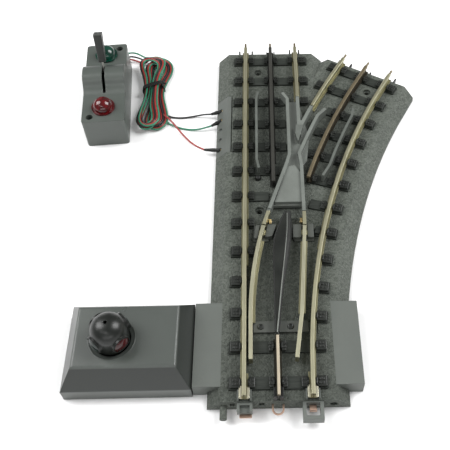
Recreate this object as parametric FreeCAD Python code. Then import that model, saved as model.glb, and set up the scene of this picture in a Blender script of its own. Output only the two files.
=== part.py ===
"""Three-rail O gauge right-hand turnout on moulded roadbed, with its motor box and remote lever controller.

Frame: X to the right, Y along the straight route away from the toe end, Z up.
The origin is on the base plane, on the straight route's centre line, at the toe end.
The points are set for the diverging route. All sizes are millimetres.
"""

import FreeCAD
import Part
import math
import os

from FreeCAD import Vector

# Track
LENGTH = 254.0            # straight route, toe end to far end
RAIL_X = 17.0             # centre line of a running rail from the centre rail
RADIUS = 436.3            # diverging route's centre rail
CURVE_START = 3.6         # distance from the toe end where the curve begins
CURVE_ANGLE = 29.5        # degrees of curve
CURVE_EXIT = 17.5         # straight stretch after the curve
BED_HALF = 36.3           # roadbed half width at the floor
BED_EDGE = 3.0            # height of the roadbed's upright edge
BED_SHOULDER = 28.8       # half width of the roadbed's flat top
BED_TOP = 10.0
BED_WALL = 2.0
END_WALL = 3.0
COVER_TOP = 1.2
COVER_SCREW_X = 22.0
COVER_SCREW_Y = (12.0, 66.0)
TRACK_SCREW_R = 1.7
TIE_TOP = 11.2
TIE_WIDTH = 6.6
TIE_HALF = 25.0
TIE_FIRST = 9.0
TIE_COUNT = 13
TIE_PITCH = (LENGTH - 2 * TIE_FIRST) / (TIE_COUNT - 1)
TIE_ANGLE_FIRST = 0.8
TIE_ANGLE_PITCH = 2.5
RAIL_TOP = 17.0
HEAD_HALF = 1.1
HEAD_DEPTH = 1.7
WEB_HALF = 0.45
FOOT_HALF = 2.0
FOOT_DEPTH = 0.8
PIN_R = 0.75              # joining pins and the bores that take them
PIN_Z = 16.0
PIN_DEPTH = 6.0
PIN_OUT = 4.0
SHANK_HALF = 0.55         # pins' square ends, held in the rails

# Points and throw bar
HEEL_STRAIGHT = Vector(17.0, 99.0, 0)
HEEL_CURVED = Vector(-6.9, 99.5, 0)
POINT_BOTTOM = 11.5
POINT_HALF = 1.0
HEEL_R = 2.2
HEEL_PIN_R = 0.75
RUNNING = 0.05            # radial clearance of a pin that turns
BAR_Y = 40.4
BAR_HALF = 3.2
BAR_ENDS = (-12.4, 16.6)
BAR_BOTTOM = 9.6
BAR_TOP = 10.8
THROW = 3.79              # travel of the throw bar
RIVETS_X = (-8.5, 7.2)
RIVET_R = 1.0
LINK_BOTTOM = 5.2
LINK_TOP = 6.6
LINK_HALF = 2.0

# Motor box
BOX_X = (-109.0, -43.7)
BOX_Y = (7.0, 55.5)
BOX_BAND = 9.0
BOX_TOP = 22.0
BOX_BEVEL = 7.6
BOX_WALL = 2.0
SHAFT_R = 2.1
PAD_OUT = 43.3
PAD_Y = (8.0, 55.5)
PAD_SCREW_IN = 6.0
PAD_BOSS_Z = 2.4
PAD_BORE_TOP = 7.0
STRAP_Y = 14.0
STRAP_TOP = 1.5
SCREW_R = 0.75
SCREW_HEAD_R = 1.6
SCREW_LONG = 6.5
BORE_R = 0.8
BOSS_R = 2.4
LANTERN = Vector(-83.2, 29.8, 0)
LANTERN_R = 9.1
LANTERN_BOTTOM = 20.7
LANTERN_TOP = 39.3
LENS_Z = 28.4
CRANK = THROW / math.sqrt(2)
CRANK_PIN_R = 0.75
COIL_Y = 46.4
COIL_Z = 9.6
COIL_R = 4.4
COIL_FRAME_HALF = 3.4
PLUNGER_R = 1.8

# Controller, in its own frame: T across, S along from its front face
CASE_AT = Vector(-106.2, 180.3, 0)
CASE_TURN = 4.2
CASE_HALF = 13.4
CASE_LONG = 72.5
CASE_FLAT = 21.5
CASE_CROWN = 29.0
CASE_WALL = 1.8
HUMP = (24.0, 49.0)
SLOT = (25.5, 48.0)
SLOT_HALF = 0.95
LENS_S = (12.2, 61.6)
LENS_R = 7.3
HOLES = ((-8.5, 4.7), (8.5, 67.9))
HOLE_R = 2.2
PIVOT_S = 36.5
PIVOT_Z = 10.5
LEVER_LEAN = 20.0
LEVER_PIN_R = 0.95
ROD_R = 0.7
ROD_LONG = 35.0
LENS_NECK_R = 5.5
GROMMET = (6.5, 5.0)      # across and up, in the rear face
GROMMET_R = 2.2

# Terminals and wires
TERMINAL_Z = 5.0
TERMINAL_INNER = -26.4    # the block's seam on the roadbed's top
TERMINAL_ENDS = (163.5, 212.5)
TERMINAL_FIRST = 203.7
TERMINAL_PITCH = 8.6
TERMINALS_Y = [TERMINAL_FIRST - i * TERMINAL_PITCH for i in range(5)]
TERMINAL_MOUTH = -33.9    # where a hole's centre line meets the sloping shoulder
# each wire's terminal, counted from the far end, and where its boot gives way to bare wire
WIRED = {
    "black": (0, (-40.3, 202.6, 3.8)),
    "green": (1, (-39.8, 192.2, 3.6)),
    "red": (4, (-43.6, 171.6, 3.4)),
}
BOOT_R = 1.35
SOCKET_R = 1.05
PLUG_PIN_R = 0.95
SOCKET_MOUTH = -32.4
SOCKET_END = -28.0
HOLE_LINER_R = 1.4
WIRE_R = 0.6

Z_AXIS = Vector(0, 0, 1)
CURVE_CENTRE = Vector(RADIUS, CURVE_START, 0)
BOTH = (-1, 1)


def save(name, *solids):
    """Write one node; several solids stay separate in it."""
    shape = solids[0] if len(solids) == 1 else Part.makeCompound(list(solids))
    shape.exportStep(os.path.join("parts", name + ".step"))
    for solid in shape.Solids:
        if not solid.isValid():
            print("INVALID", name)
    print(f"{name}: {len(shape.Solids)} solid(s), {shape.Volume:.1f} mm3")


def box(x0, x1, y0, y1, z0, z1):
    return Part.makeBox(x1 - x0, y1 - y0, z1 - z0, Vector(x0, y0, z0))


def post(x, y, z0, z1, r):
    return Part.makeCylinder(r, z1 - z0, Vector(x, y, z0))


def prism(points, z0, z1):
    """Upright prism over a plan outline."""
    loop = [Vector(x, y, z0) for x, y in points]
    face = Part.Face(Part.makePolygon(loop + loop[:1]))
    return face.extrude(Vector(0, 0, z1 - z0))


def profile(points, y=0.0):
    """Face in the plane across the track at distance y, from (x, z) corners."""
    loop = [Vector(x, y, z) for x, z in points]
    return Part.Face(Part.makePolygon(loop + loop[:1]))


def run(points, y0, y1):
    """A section carried along the straight route."""
    return profile(points, y0).extrude(Vector(0, y1 - y0, 0))


def on_curve(shape, angle):
    """Move a shape made at the start of the curve to an angle along it."""
    moved = shape.copy()
    moved.rotate(CURVE_CENTRE, Z_AXIS, -angle)
    return moved


def bend(points, a0, a1):
    """A section carried round the diverging route from angle a0 to a1."""
    face = on_curve(profile(points, CURVE_START), a0)
    return face.revolve(CURVE_CENTRE, Z_AXIS, a0 - a1)


def leave(points, s0, s1):
    """A section carried along the straight stretch after the curve."""
    return on_curve(run(points, CURVE_START + s0, CURVE_START + s1), CURVE_ANGLE)


def fuse(solids):
    shape = solids[0]
    for other in solids[1:]:
        shape = shape.fuse(other)
    return shape.removeSplitter()


def curve_point(offset, angle):
    a = math.radians(angle)
    reach = RADIUS - offset
    return RADIUS - reach * math.cos(a), CURVE_START + reach * math.sin(a)


# ---------------------------------------------------------------- roadbed

def bed_section(inset):
    """Trapezoid across the roadbed, or its inside at one wall thickness."""
    half = BED_HALF - inset
    shoulder = BED_SHOULDER - 0.6 * inset
    top = BED_TOP - inset
    edge = BED_EDGE - 0.4 * inset
    low = 0.0 if inset == 0 else -1.0
    right = [(half, low), (half - 0.3, edge), (shoulder, top)]
    return right + [(-x, z) for x, z in right[::-1]]


def bed_block(inset, end):
    section = bed_section(inset)
    return fuse([
        run(section, end, LENGTH - end),
        bend(section, 0.0 if end == 0 else 0.6, CURVE_ANGLE),
        leave(section, 0.0, CURVE_EXIT - end),
    ])


def screw_places():
    """Three holes for track screws: two on the straight route and one on the diverging route."""
    first = (-RAIL_X / 2, TIE_FIRST + 5.5 * TIE_PITCH)
    second = (-RAIL_X / 2, TIE_FIRST + 11.5 * TIE_PITCH)
    return [first, second, curve_point(RAIL_X / 2, TIE_ANGLE_FIRST + 11.5 * TIE_ANGLE_PITCH)]


def pad_block(side, inset, low):
    """Outer block of a motor pad, or its hollow, on one side of the toe end."""
    x0, x1 = sorted((side * (BED_SHOULDER - inset), side * (PAD_OUT - inset)))
    return box(x0, x1, PAD_Y[0] + inset, PAD_Y[1] - inset, low, BED_TOP - inset)


def pad_screw_places(side):
    x = side * (PAD_OUT - PAD_SCREW_IN)
    return [(x, PAD_Y[0] + PAD_SCREW_IN), (x, PAD_Y[1] - PAD_SCREW_IN)]


def cover_screw_places():
    return [(x, y) for x in (-COVER_SCREW_X, COVER_SCREW_X) for y in COVER_SCREW_Y]


def roadbed():
    """Hollow moulding of both routes, with a motor pad on each side of the toe end."""
    inner = BED_TOP - BED_WALL
    bed = bed_block(0, 0).cut(bed_block(BED_WALL, END_WALL))
    for side in BOTH:
        bed = bed.fuse(pad_block(side, 0, 0.0))
        bed = bed.cut(pad_block(side, BED_WALL, -1.0))
        for x, y in pad_screw_places(side):
            bed = bed.fuse(post(x, y, PAD_BOSS_Z, inner + 0.5, BOSS_R))
            bed = bed.cut(post(x, y, 0.0, PAD_BORE_TOP, BORE_R))
    for x, y in cover_screw_places():
        bed = bed.fuse(post(x, y, COVER_TOP + 0.05, inner + 0.5, BOSS_R))
        bed = bed.cut(post(x, y, 0.0, PAD_BORE_TOP, BORE_R))
    for x, y in screw_places():
        bed = bed.fuse(post(x, y, 0.0, inner + 0.5, 4.2))
        bed = bed.cut(post(x, y, -1.0, BED_TOP + 1, TRACK_SCREW_R))
        bed = bed.cut(post(x, y, BED_TOP - 1.6, BED_TOP + 1, TRACK_SCREW_R + 1.0))
    for y in (76.0, 146.5, 220.0):
        bed = bed.fuse(box(-30.0, 26.0, y, y + 1.6, 2.5, inner + 0.2))
    # pocket for the throw bar, with slots for the rivets that reach the link underneath
    bed = bed.cut(box(-15.5, 21.5, BAR_Y - 4.6, BAR_Y + BAR_HALF + 0.3, BAR_BOTTOM - 0.2, BED_TOP + 1))
    for x in RIVETS_X:
        bed = bed.cut(box(x - 1.4, x + THROW + 1.4, BAR_Y - 1.3, BAR_Y + 1.3, 7.0, BED_TOP))
    # ways out to the motor box for the link and the strap
    bed = bed.cut(box(-50.0, -25.0, BAR_Y - 2.6, BAR_Y + 2.6, LINK_BOTTOM - 0.5, LINK_TOP + 0.4))
    bed = bed.cut(box(-50.0, -39.0, STRAP_Y - 4.2, STRAP_Y + 4.2, -1.0, STRAP_TOP + 0.3))
    # seat of the terminal block, with a groove along its seam
    y0, y1 = TERMINAL_ENDS
    bed = bed.cut(box(-40.0, TERMINAL_INNER + 0.1, y0 - 0.1, y1 + 0.1, -1.0, BED_TOP + 1))
    bed = bed.cut(box(-30.0, TERMINAL_INNER + 0.7, y0, y1, BED_TOP - 0.8, BED_TOP + 1))
    # locating peg, its opposite hole and the sockets beside the rails at the toe end
    bed = bed.fuse(Part.makeCylinder(1.8, 8.0, Vector(-27.6, 1.0, 4.5), Vector(0, -1, 0)))
    bed = bed.cut(Part.makeCylinder(2.0, 5.0, Vector(27.6, 4.0, 4.5), Vector(0, -1, 0)))
    for x in (-23.2, -8.4):
        bed = bed.cut(box(x - 1.3, x + 1.3, -1.0, 4.0, 4.5, 7.5))
    return bed.removeSplitter()


def bottom_cover():
    """Plate that closes the underside below the throw bar."""
    plate = box(-26.0, 26.0, 6.0, 72.0, 0.0, COVER_TOP)
    for x, y in cover_screw_places():
        plate = plate.cut(countersink(x, y))
    return plate.fuse(box(-26.0, 26.0, 6.0, 7.2, 1.0, 2.4)).removeSplitter()


def countersink(x, y):
    """Cutter for a screw head sunk into a plate from below."""
    cone = Part.makeCone(SCREW_HEAD_R + 0.1, BORE_R, SCREW_HEAD_R - BORE_R + 0.1, Vector(x, y, -0.001))
    return cone.fuse(post(x, y, -1.0, 4.0, BORE_R + 0.05))


def screw(x, y):
    """Countersunk screw driven upwards, with a slot across its head."""
    deep = SCREW_HEAD_R - SCREW_R
    head = Part.makeCone(SCREW_HEAD_R, SCREW_R, deep, Vector(x, y, 0.05))
    solid = head.fuse(post(x, y, deep, SCREW_LONG, SCREW_R))
    return solid.cut(box(x - 2, x + 2, y - 0.2, y + 0.2, -1.0, 0.4)).removeSplitter()


# ---------------------------------------------------------------- ties

def chair(x0, x1, y, rise=1.5):
    return box(x0, x1, y - 2.5, y + 2.5, TIE_TOP - 0.2, TIE_TOP + rise)


def tie(x0, x1, y, chairs):
    """A tie lying across the track, with chairs beside each rail it holds."""
    body = box(x0, x1, y - TIE_WIDTH / 2, y + TIE_WIDTH / 2, BED_TOP, TIE_TOP)
    for rail_x, sides in chairs:
        reach = 4.9 if abs(rail_x) > 1 else 4.1
        for side in sides:
            a, b = sorted((rail_x + side * (FOOT_HALF + 0.1), rail_x + side * reach))
            body = body.fuse(chair(a, b, y))
    return body.removeSplitter()


def tie_y(i):
    return TIE_FIRST + i * TIE_PITCH


def straight_ties():
    """Ties of the straight route; those in the switch are cut short."""
    left = (-RAIL_X, BOTH)
    left_out = (-RAIL_X, (-1,))
    centre = (0, BOTH)
    right = (RAIL_X, BOTH)
    plan = {
        0: [(-TIE_HALF, TIE_HALF, [left, centre, right])],
        1: [(-TIE_HALF, TIE_HALF, [left_out, centre, (RAIL_X + 1.0, (1,))])],
        2: [(-TIE_HALF, -18.4, [left_out])],
        3: [(-TIE_HALF, -18.4, [left_out])],
        4: [(-TIE_HALF, -11.6, [left])],
        5: [(-TIE_HALF, -12.2, [left])],
        6: [(-TIE_HALF, -3.0, [left])],
        7: [(-TIE_HALF, 3.6, [left, (0, (-1,))])],
        8: [(-TIE_HALF, 8.7, [left, centre])],
        9: [(-TIE_HALF, 8.7, [left, centre])],
        10: [(-TIE_HALF, 8.7, [left, centre]), (18.8, 22.6, [(RAIL_X, (1,))])],
        11: [(-TIE_HALF, TIE_HALF, [left, centre, right])],
        12: [(-TIE_HALF, TIE_HALF, [left, centre, right])],
    }
    return [tie(x0, x1, tie_y(i), chairs) for i, spans in plan.items() for x0, x1, chairs in spans]


def curved_ties():
    right = (RAIL_X, BOTH)
    centre = (0, BOTH)
    left = (-RAIL_X, BOTH)
    plan = {
        2: (18.4, [(RAIL_X, (1,))]),
        3: (18.4, [(RAIL_X, (1,))]),
        4: (18.4, [(RAIL_X, (1,))]),
        5: (12.1, [right]),
        6: (5.0, [right]),
        7: (-0.5, [right, (0, (1,))]),
        8: (-8.4, [right, centre]),
        9: (-8.4, [right, centre]),
        10: (-8.4, [right, centre]),
        11: (-TIE_HALF, [right, centre, left]),
        12: (-TIE_HALF, [right, centre, left]),
    }
    # the tie beside the throw bar is notched where the bar's end comes at full throw
    reach = BAR_ENDS[1] + THROW + 0.6
    side = BAR_HALF + 0.5
    notch = box(BAR_ENDS[1], reach, BAR_Y - side, BAR_Y + side, BED_TOP - 1, TIE_TOP)
    made = []
    for i, (start, chairs) in plan.items():
        flat = tie(start, TIE_HALF, CURVE_START, chairs)
        placed = on_curve(flat, TIE_ANGLE_FIRST + i * TIE_ANGLE_PITCH)
        made.append(placed.cut(notch) if i == min(plan) else placed)
    return made


# ---------------------------------------------------------------- rails

def rail_section(x, left_foot=FOOT_HALF, right_foot=FOOT_HALF):
    """T-headed rail standing on the ties, with its head's corners eased."""
    ease = 0.35
    head_low = RAIL_TOP - HEAD_DEPTH
    foot_top = TIE_TOP + FOOT_DEPTH

    def half(side, foot):
        """Corners of one side, from the foot up."""
        return [
            (x + side * foot, TIE_TOP), (x + side * foot, foot_top),
            (x + side * WEB_HALF, foot_top), (x + side * WEB_HALF, head_low),
            (x + side * HEAD_HALF, head_low), (x + side * HEAD_HALF, RAIL_TOP - ease),
            (x + side * (HEAD_HALF - ease), RAIL_TOP),
        ]

    return half(1, right_foot) + half(-1, left_foot)[::-1]


RAIL_END = LENGTH - 0.6
EXIT_END = CURVE_EXIT - 0.6
TOE_START = 0.6
NO_FOOT = WEB_HALF + 0.02


def toe_bore(x):
    """Open bore in a rail's toe end, for the pin of the track before."""
    return Part.makeCylinder(PIN_R, PIN_DEPTH, Vector(x, TOE_START, PIN_Z), Vector(0, 1, 0))


def shank(x, rail_end):
    """Square held end of a joining pin, and the socket it fills in the rail."""
    half = SHANK_HALF
    return box(x - half, x + half, rail_end - PIN_DEPTH, rail_end, PIN_Z - half, PIN_Z + half)


def far_socket(x):
    return shank(x, RAIL_END)


def exit_socket(x):
    return on_curve(shank(x, CURVE_START + EXIT_END), CURVE_ANGLE)


def stock_rail_straight():
    x = -RAIL_X
    parts = [
        run(rail_section(x), TOE_START, 14.0),
        run(rail_section(x, right_foot=NO_FOOT), 14.0, 78.0),
        run(rail_section(x), 78.0, RAIL_END),
    ]
    rail = fuse(parts)
    return rail.cut(toe_bore(x)).cut(far_socket(x))


def stock_rail_curved():
    x = RAIL_X
    parts = [
        run(rail_section(x), TOE_START, CURVE_START),
        bend(rail_section(x), 0.0, 1.45),
        bend(rail_section(x, left_foot=NO_FOOT), 1.45, 11.6),
        bend(rail_section(x), 11.6, CURVE_ANGLE),
        leave(rail_section(x), 0.0, EXIT_END),
    ]
    return fuse(parts).cut(toe_bore(x)).cut(exit_socket(x))


def exit_rail_straight():
    return run(rail_section(RAIL_X), 205.0, RAIL_END).cut(far_socket(RAIL_X))


def exit_rail_curved():
    parts = [bend(rail_section(-RAIL_X), 25.2, CURVE_ANGLE), leave(rail_section(-RAIL_X), 0.0, EXIT_END)]
    return fuse(parts).cut(exit_socket(-RAIL_X))


def centre_rail_toe():
    return run(rail_section(0), TOE_START, 32.6).cut(toe_bore(0))


def centre_rail_straight():
    parts = [
        run(rail_section(0, right_foot=1.3), 134.0, 152.0),
        run(rail_section(0), 152.0, RAIL_END),
    ]
    return fuse(parts).cut(far_socket(0))


def centre_rail_curved():
    parts = [
        bend(rail_section(0, left_foot=0.9), 17.8, 19.6),
        bend(rail_section(0), 19.6, CURVE_ANGLE),
        leave(rail_section(0), 0.0, EXIT_END),
    ]
    return fuse(parts).cut(exit_socket(0))


def joining_pin(x, rail_end):
    """Pin with a square shank in the rail's socket and a round free end against the rail's end face."""
    free = Part.makeCylinder(PIN_R, PIN_OUT, Vector(x, rail_end, PIN_Z), Vector(0, 1, 0))
    return fuse([shank(x, rail_end), free])


def rail_pins():
    """Joining pins in the rail ends of both far ends."""
    places = (-RAIL_X, 0, RAIL_X)
    straight = [joining_pin(x, RAIL_END) for x in places]
    curved = [on_curve(joining_pin(x, CURVE_START + EXIT_END), CURVE_ANGLE) for x in places]
    return straight + curved


def wall(points, half, z0, z1):
    """Upright wall of even thickness along a plan line, with square ends."""
    left = []
    right = []
    for i, (x, y) in enumerate(points):
        x0, y0 = points[max(i - 1, 0)]
        x1, y1 = points[min(i + 1, len(points) - 1)]
        size = math.hypot(x1 - x0, y1 - y0)
        nx, ny = (y1 - y0) / size, -(x1 - x0) / size
        left.append((x - half * nx, y - half * ny))
        right.append((x + half * nx, y + half * ny))
    return prism(left + right[::-1], z0, z1)


def bar_section(x, half):
    return [(x - half, TIE_TOP), (x + half, TIE_TOP), (x + half, RAIL_TOP), (x - half, RAIL_TOP)]


FLANGEWAY = 6.7           # rail centre line to guard or wing centre line
GUARD_HALF = 0.75


def frog_casting():
    """Wing rails, nose and the plate that joins them, cast in one piece."""
    floor = TIE_TOP + 2.2
    wing_x = RAIL_X - FLANGEWAY
    left_line = [(-2.7, 113.6), (3.2, 132.0), (8.8, 149.3), (wing_x, 155.5), (wing_x, 203.0), (7.2, 208.5)]
    left_wing = wall(left_line, 1.0, TIE_TOP, RAIL_TOP)
    bend_x, bend_y = curve_point(FLANGEWAY - RAIL_X, 19.9)
    right_low = wall([(17.25, 111.6), (17.25, 147.0), (bend_x, bend_y)], 1.0, TIE_TOP, RAIL_TOP)
    right_high = bend(bar_section(FLANGEWAY - RAIL_X, 1.0), 19.8, 24.4)
    end_x, end_y = curve_point(FLANGEWAY - RAIL_X, 24.3)
    flare = wall([(end_x, end_y), (end_x + 5.4, end_y + 6.0)], 1.0, TIE_TOP, RAIL_TOP)
    nose_outline = [(15.95, 168.5), (16.9, 170.5), (19.9, 182.0), (17.5, 184.0), (15.9, 171.5)]
    nose = [
        run(bar_section(RAIL_X, HEAD_HALF), 171.0, 204.6),
        bend(bar_section(-RAIL_X, HEAD_HALF), 21.75, 25.1),
        prism(nose_outline, TIE_TOP, RAIL_TOP),
    ]
    plate = prism([(-1.4, 118.0), (17.0, 118.0), (17.0, 146.0), (21.0, 152.5), (23.2, 172.0), (20.5, 186.0),
                   (17.5, 203.0), (10.0, 203.0), (10.0, 154.0)], TIE_TOP, floor)
    deck_outline = [(0.4, 119.0), (16.6, 119.0), (16.6, 141.0), (13.2, 147.0), (8.7, 146.0)]
    deck = prism(deck_outline, floor - 0.2, RAIL_TOP - 1.3)
    return fuse([plate, left_wing, right_low, right_high, flare, deck] + nose)


def guard_rail_left():
    x = -RAIL_X + FLANGEWAY + 0.4
    return wall([(-8.6, 144.4), (x, 151.5), (x, 203.5), (-8.8, 209.5)], GUARD_HALF, TIE_TOP, RAIL_TOP)


def guard_rail_right():
    offset = RAIL_X - FLANGEWAY - 0.4
    section = bar_section(offset, GUARD_HALF)
    start = curve_point(offset, 19.45)
    end = curve_point(offset, 25.45)
    low = wall([(start[0] - 4.6, start[1] - 8.0), start], GUARD_HALF, TIE_TOP, RAIL_TOP)
    high = wall([end, (end[0] + 1.3, end[1] + 6.4)], GUARD_HALF, TIE_TOP, RAIL_TOP)
    return fuse([low, bend(section, 19.4, 25.5), high])


def centre_wedge():
    """Powered wedge where the two centre rails part: upright left flank and a ridge that leans right."""
    low = TIE_TOP - 0.9
    right_side = [
        (0.9, 33.4), (2.2, 50.0), (4.2, 65.0), (6.5, 78.0), (8.8, 92.0), (9.5, 101.0), (9.2, 112.0),
    ]
    left_side = [(6.2, 112.0), (3.0, 104.0), (-0.2, 94.0), (-0.9, 88.0), (-0.9, 33.4)]
    outline = right_side + left_side
    body = prism(outline, low, 16.2)
    # the right flank falls away from the ridge
    fall = [Vector(0.2, 30.0, 16.2), Vector(12.0, 30.0, 16.2), Vector(12.0, 30.0, 13.0)]
    blade = Part.Face(Part.makePolygon(fall + fall[:1]))
    far = Vector(7.6, 116.0, 0) - Vector(0.2, 30.0, 0)
    gap = 0.4
    bar_way = box(-20.0, 20.0, BAR_Y - BAR_HALF - gap, BAR_Y + BAR_HALF + gap, BED_TOP, BAR_TOP + gap)
    return body.cut(blade.extrude(far)).cut(bar_way)


def wedge_ridge():
    """Bright wear strip along the wedge's ridge, raised to the rail tops."""
    return wall([(0.0, 34.0), (2.7, 60.0), (5.3, 82.0), (7.3, 102.0), (7.4, 110.5)], 0.35, 16.2, 16.8)


# ---------------------------------------------------------------- points

def point_link(x, y):
    """Pin under a point rail that the throw bar carries along."""
    return post(x, y, BAR_BOTTOM + 0.1, POINT_BOTTOM + 0.5, 0.6)


def heel(centre):
    disc = post(centre.x, centre.y, POINT_BOTTOM, POINT_BOTTOM + 1.5, HEEL_R)
    bore = post(centre.x, centre.y, POINT_BOTTOM - 1, POINT_BOTTOM + 1.5, HEEL_PIN_R + RUNNING)
    return disc, bore


def slab_x(points, half, y0, y1, z0, z1):
    """Part of a wall along a plan line, kept between two distances from the toe end."""
    return wall(points, half, z0, z1).common(box(-60, 60, y0, y1, z0 - 1, z1 + 1))


CURVED_POINT_R = 218.0


def curved_point_x(y):
    """Line of the point for the diverging route: straight, then an easy curve to its heel."""
    return -13.7 + max(0.0, y - 45.0) ** 2 / (2 * CURVED_POINT_R)


def point_rail_curved():
    line = [(curved_point_x(y), y) for y in (19.5, 45, 54, 63, 72, 81, 90, 99, 101.6)]
    rail = wall(line, POINT_HALF, POINT_BOTTOM, RAIL_TOP)
    foot = slab_x([(x + 1.5, y) for x, y in line], 0.9, 42.0, 93.5, POINT_BOTTOM, POINT_BOTTOM + 1.2)
    disc, bore = heel(HEEL_CURVED)
    pin = point_link(curved_point_x(BAR_Y), BAR_Y)
    web = slab_x([(x - 0.9, y) for x, y in line], 0.35, 52.0, 96.0, POINT_BOTTOM + 1.6, RAIL_TOP - 2.0)
    return fuse([rail.cut(bore).cut(web), foot, disc.cut(bore), pin])


STRAIGHT_POINT = [(9.7, 20.0), (13.4, 47.0), (17.0, 99.0), (17.15, 101.2)]


def point_rail_straight():
    rail = wall(STRAIGHT_POINT, POINT_HALF, POINT_BOTTOM, RAIL_TOP)
    foot = slab_x(STRAIGHT_POINT, 1.9, 47.0, 93.0, POINT_BOTTOM, POINT_BOTTOM + 1.0)
    disc, bore = heel(HEEL_STRAIGHT)
    share = (BAR_Y - 20.0) / 27.0
    pin = point_link(9.7 + 3.7 * share, BAR_Y)
    return fuse([rail.cut(bore), foot, disc.cut(bore), pin])


def heel_brackets():
    """Plate under both heels, with lugs that stand beside each rail."""
    plate = prism([(-12.0, 94.4), (22.3, 94.4), (22.3, 105.6), (-12.0, 105.6)], BED_TOP, TIE_TOP - 0.1)
    plate = plate.cut(box(-3.4, 11.2, 90.0, 120.0, BED_TOP - 1, TIE_TOP + 1))
    lugs = [
        prism([(-11.6, 95.2), (-10.2, 95.2), (-9.5, 103.0), (-10.8, 103.8)], TIE_TOP - 0.3, 13.2),
        prism([(-4.4, 96.2), (-3.5, 96.2), (-3.5, 104.6), (-3.9, 104.6)], TIE_TOP - 0.3, 13.2),
        box(12.0, 14.2, 95.4, 103.6, TIE_TOP - 0.3, 13.2),
        box(19.8, 22.2, 95.4, 103.6, TIE_TOP - 0.3, 13.2),
    ]
    return [fuse(part) for part in (
        [plate.Solids[0]] + [lug for lug in lugs if lug.common(plate.Solids[0]).Volume > 0.01],
        [plate.Solids[1]] + [lug for lug in lugs if lug.common(plate.Solids[1]).Volume > 0.01],
    )]


def heel_pins():
    centres = (HEEL_CURVED, HEEL_STRAIGHT)
    return [post(c.x, c.y, TIE_TOP - 0.1, POINT_BOTTOM + 1.3, HEEL_PIN_R) for c in centres]


def closure_rails():
    """Fixed lengths between the heels and the frog."""
    return [
        wall([(-6.15, 102.5), (-2.85, 113.2)], 1.0, TIE_TOP, RAIL_TOP),
        wall([(17.2, 101.9), (17.25, 111.2)], 1.0, TIE_TOP, RAIL_TOP),
    ]


def throw_bar():
    plate = box(*BAR_ENDS, BAR_Y - BAR_HALF, BAR_Y + BAR_HALF, BAR_BOTTOM, BAR_TOP)
    share = (BAR_Y - 20.0) / 27.0
    for x in (curved_point_x(BAR_Y), 9.7 + 3.7 * share):
        plate = plate.cut(box(x - 0.78, x + 0.78, BAR_Y - 1.1, BAR_Y + 1.0, BAR_BOTTOM - 1, BAR_TOP + 1))
    for x in RIVETS_X:
        plate = plate.cut(post(x, BAR_Y, BAR_BOTTOM - 1, BAR_TOP + 1, RIVET_R))
    return plate


def throw_bar_rivets():
    """Rivets that join the throw bar to the link under the deck."""
    made = []
    for x in RIVETS_X:
        shank = post(x, BAR_Y, LINK_BOTTOM, BAR_TOP, RIVET_R)
        head = Part.makeSphere(2.2, Vector(x, BAR_Y, BAR_TOP - 1.5))
        head = head.common(box(x - 3, x + 3, 30, 45, BAR_TOP, 20))
        made.append(shank.fuse(head).removeSplitter())
    return made


def drive_link():
    """Link under the deck: bar to the motor box, arm to the plunger and fork for the lantern's crank."""
    bar = box(-88.0, 10.0, BAR_Y - LINK_HALF, BAR_Y + LINK_HALF, LINK_BOTTOM, LINK_TOP)
    for x in RIVETS_X:
        bar = bar.cut(post(x, BAR_Y, LINK_BOTTOM - 1, LINK_TOP + 1, RIVET_R))
    arm = box(-77.4, -74.6, BAR_Y - 1.0, COIL_Y + 3.0, LINK_BOTTOM, COIL_Z + 3.0)
    arm = arm.cut(Part.makeCylinder(PLUNGER_R, 10, Vector(-80, COIL_Y, COIL_Z), Vector(1, 0, 0)))
    pin_x = LANTERN.x - CRANK / math.sqrt(2)
    fork = box(pin_x - 2.6, pin_x + 2.6, LANTERN.y + 1.2, BAR_Y, LINK_BOTTOM, LINK_TOP)
    half_slot = CRANK_PIN_R + 0.17
    y = LANTERN.y
    slot = box(pin_x - half_slot, pin_x + half_slot, y, y + 4.2, LINK_BOTTOM - 1, LINK_TOP + 1)
    fork = fork.cut(slot)
    return fuse([bar, arm, fork])


# ---------------------------------------------------------------- motor box

def frustum(inset, low, band, top):
    """Box with upright sides up to the band and bevelled faces above it."""
    x0, x1 = BOX_X[0] + inset, BOX_X[1] - inset
    y0, y1 = BOX_Y[0] + inset, BOX_Y[1] - inset
    bevel = BOX_BEVEL

    def loop(dx, dy, z):
        corners = ((x0 + dx, y0 + dy), (x1 - dx, y0 + dy), (x1 - dx, y1 - dy), (x0 + dx, y1 - dy))
        pts = [Vector(x, y, z) for x, y in corners]
        return Part.makePolygon(pts + pts[:1])

    lower = box(x0, x1, y0, y1, low, band)
    upper = Part.makeLoft([loop(0, 0, band), loop(bevel - 0.7, bevel, top)], True, True)
    return fuse([lower, upper])


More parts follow.
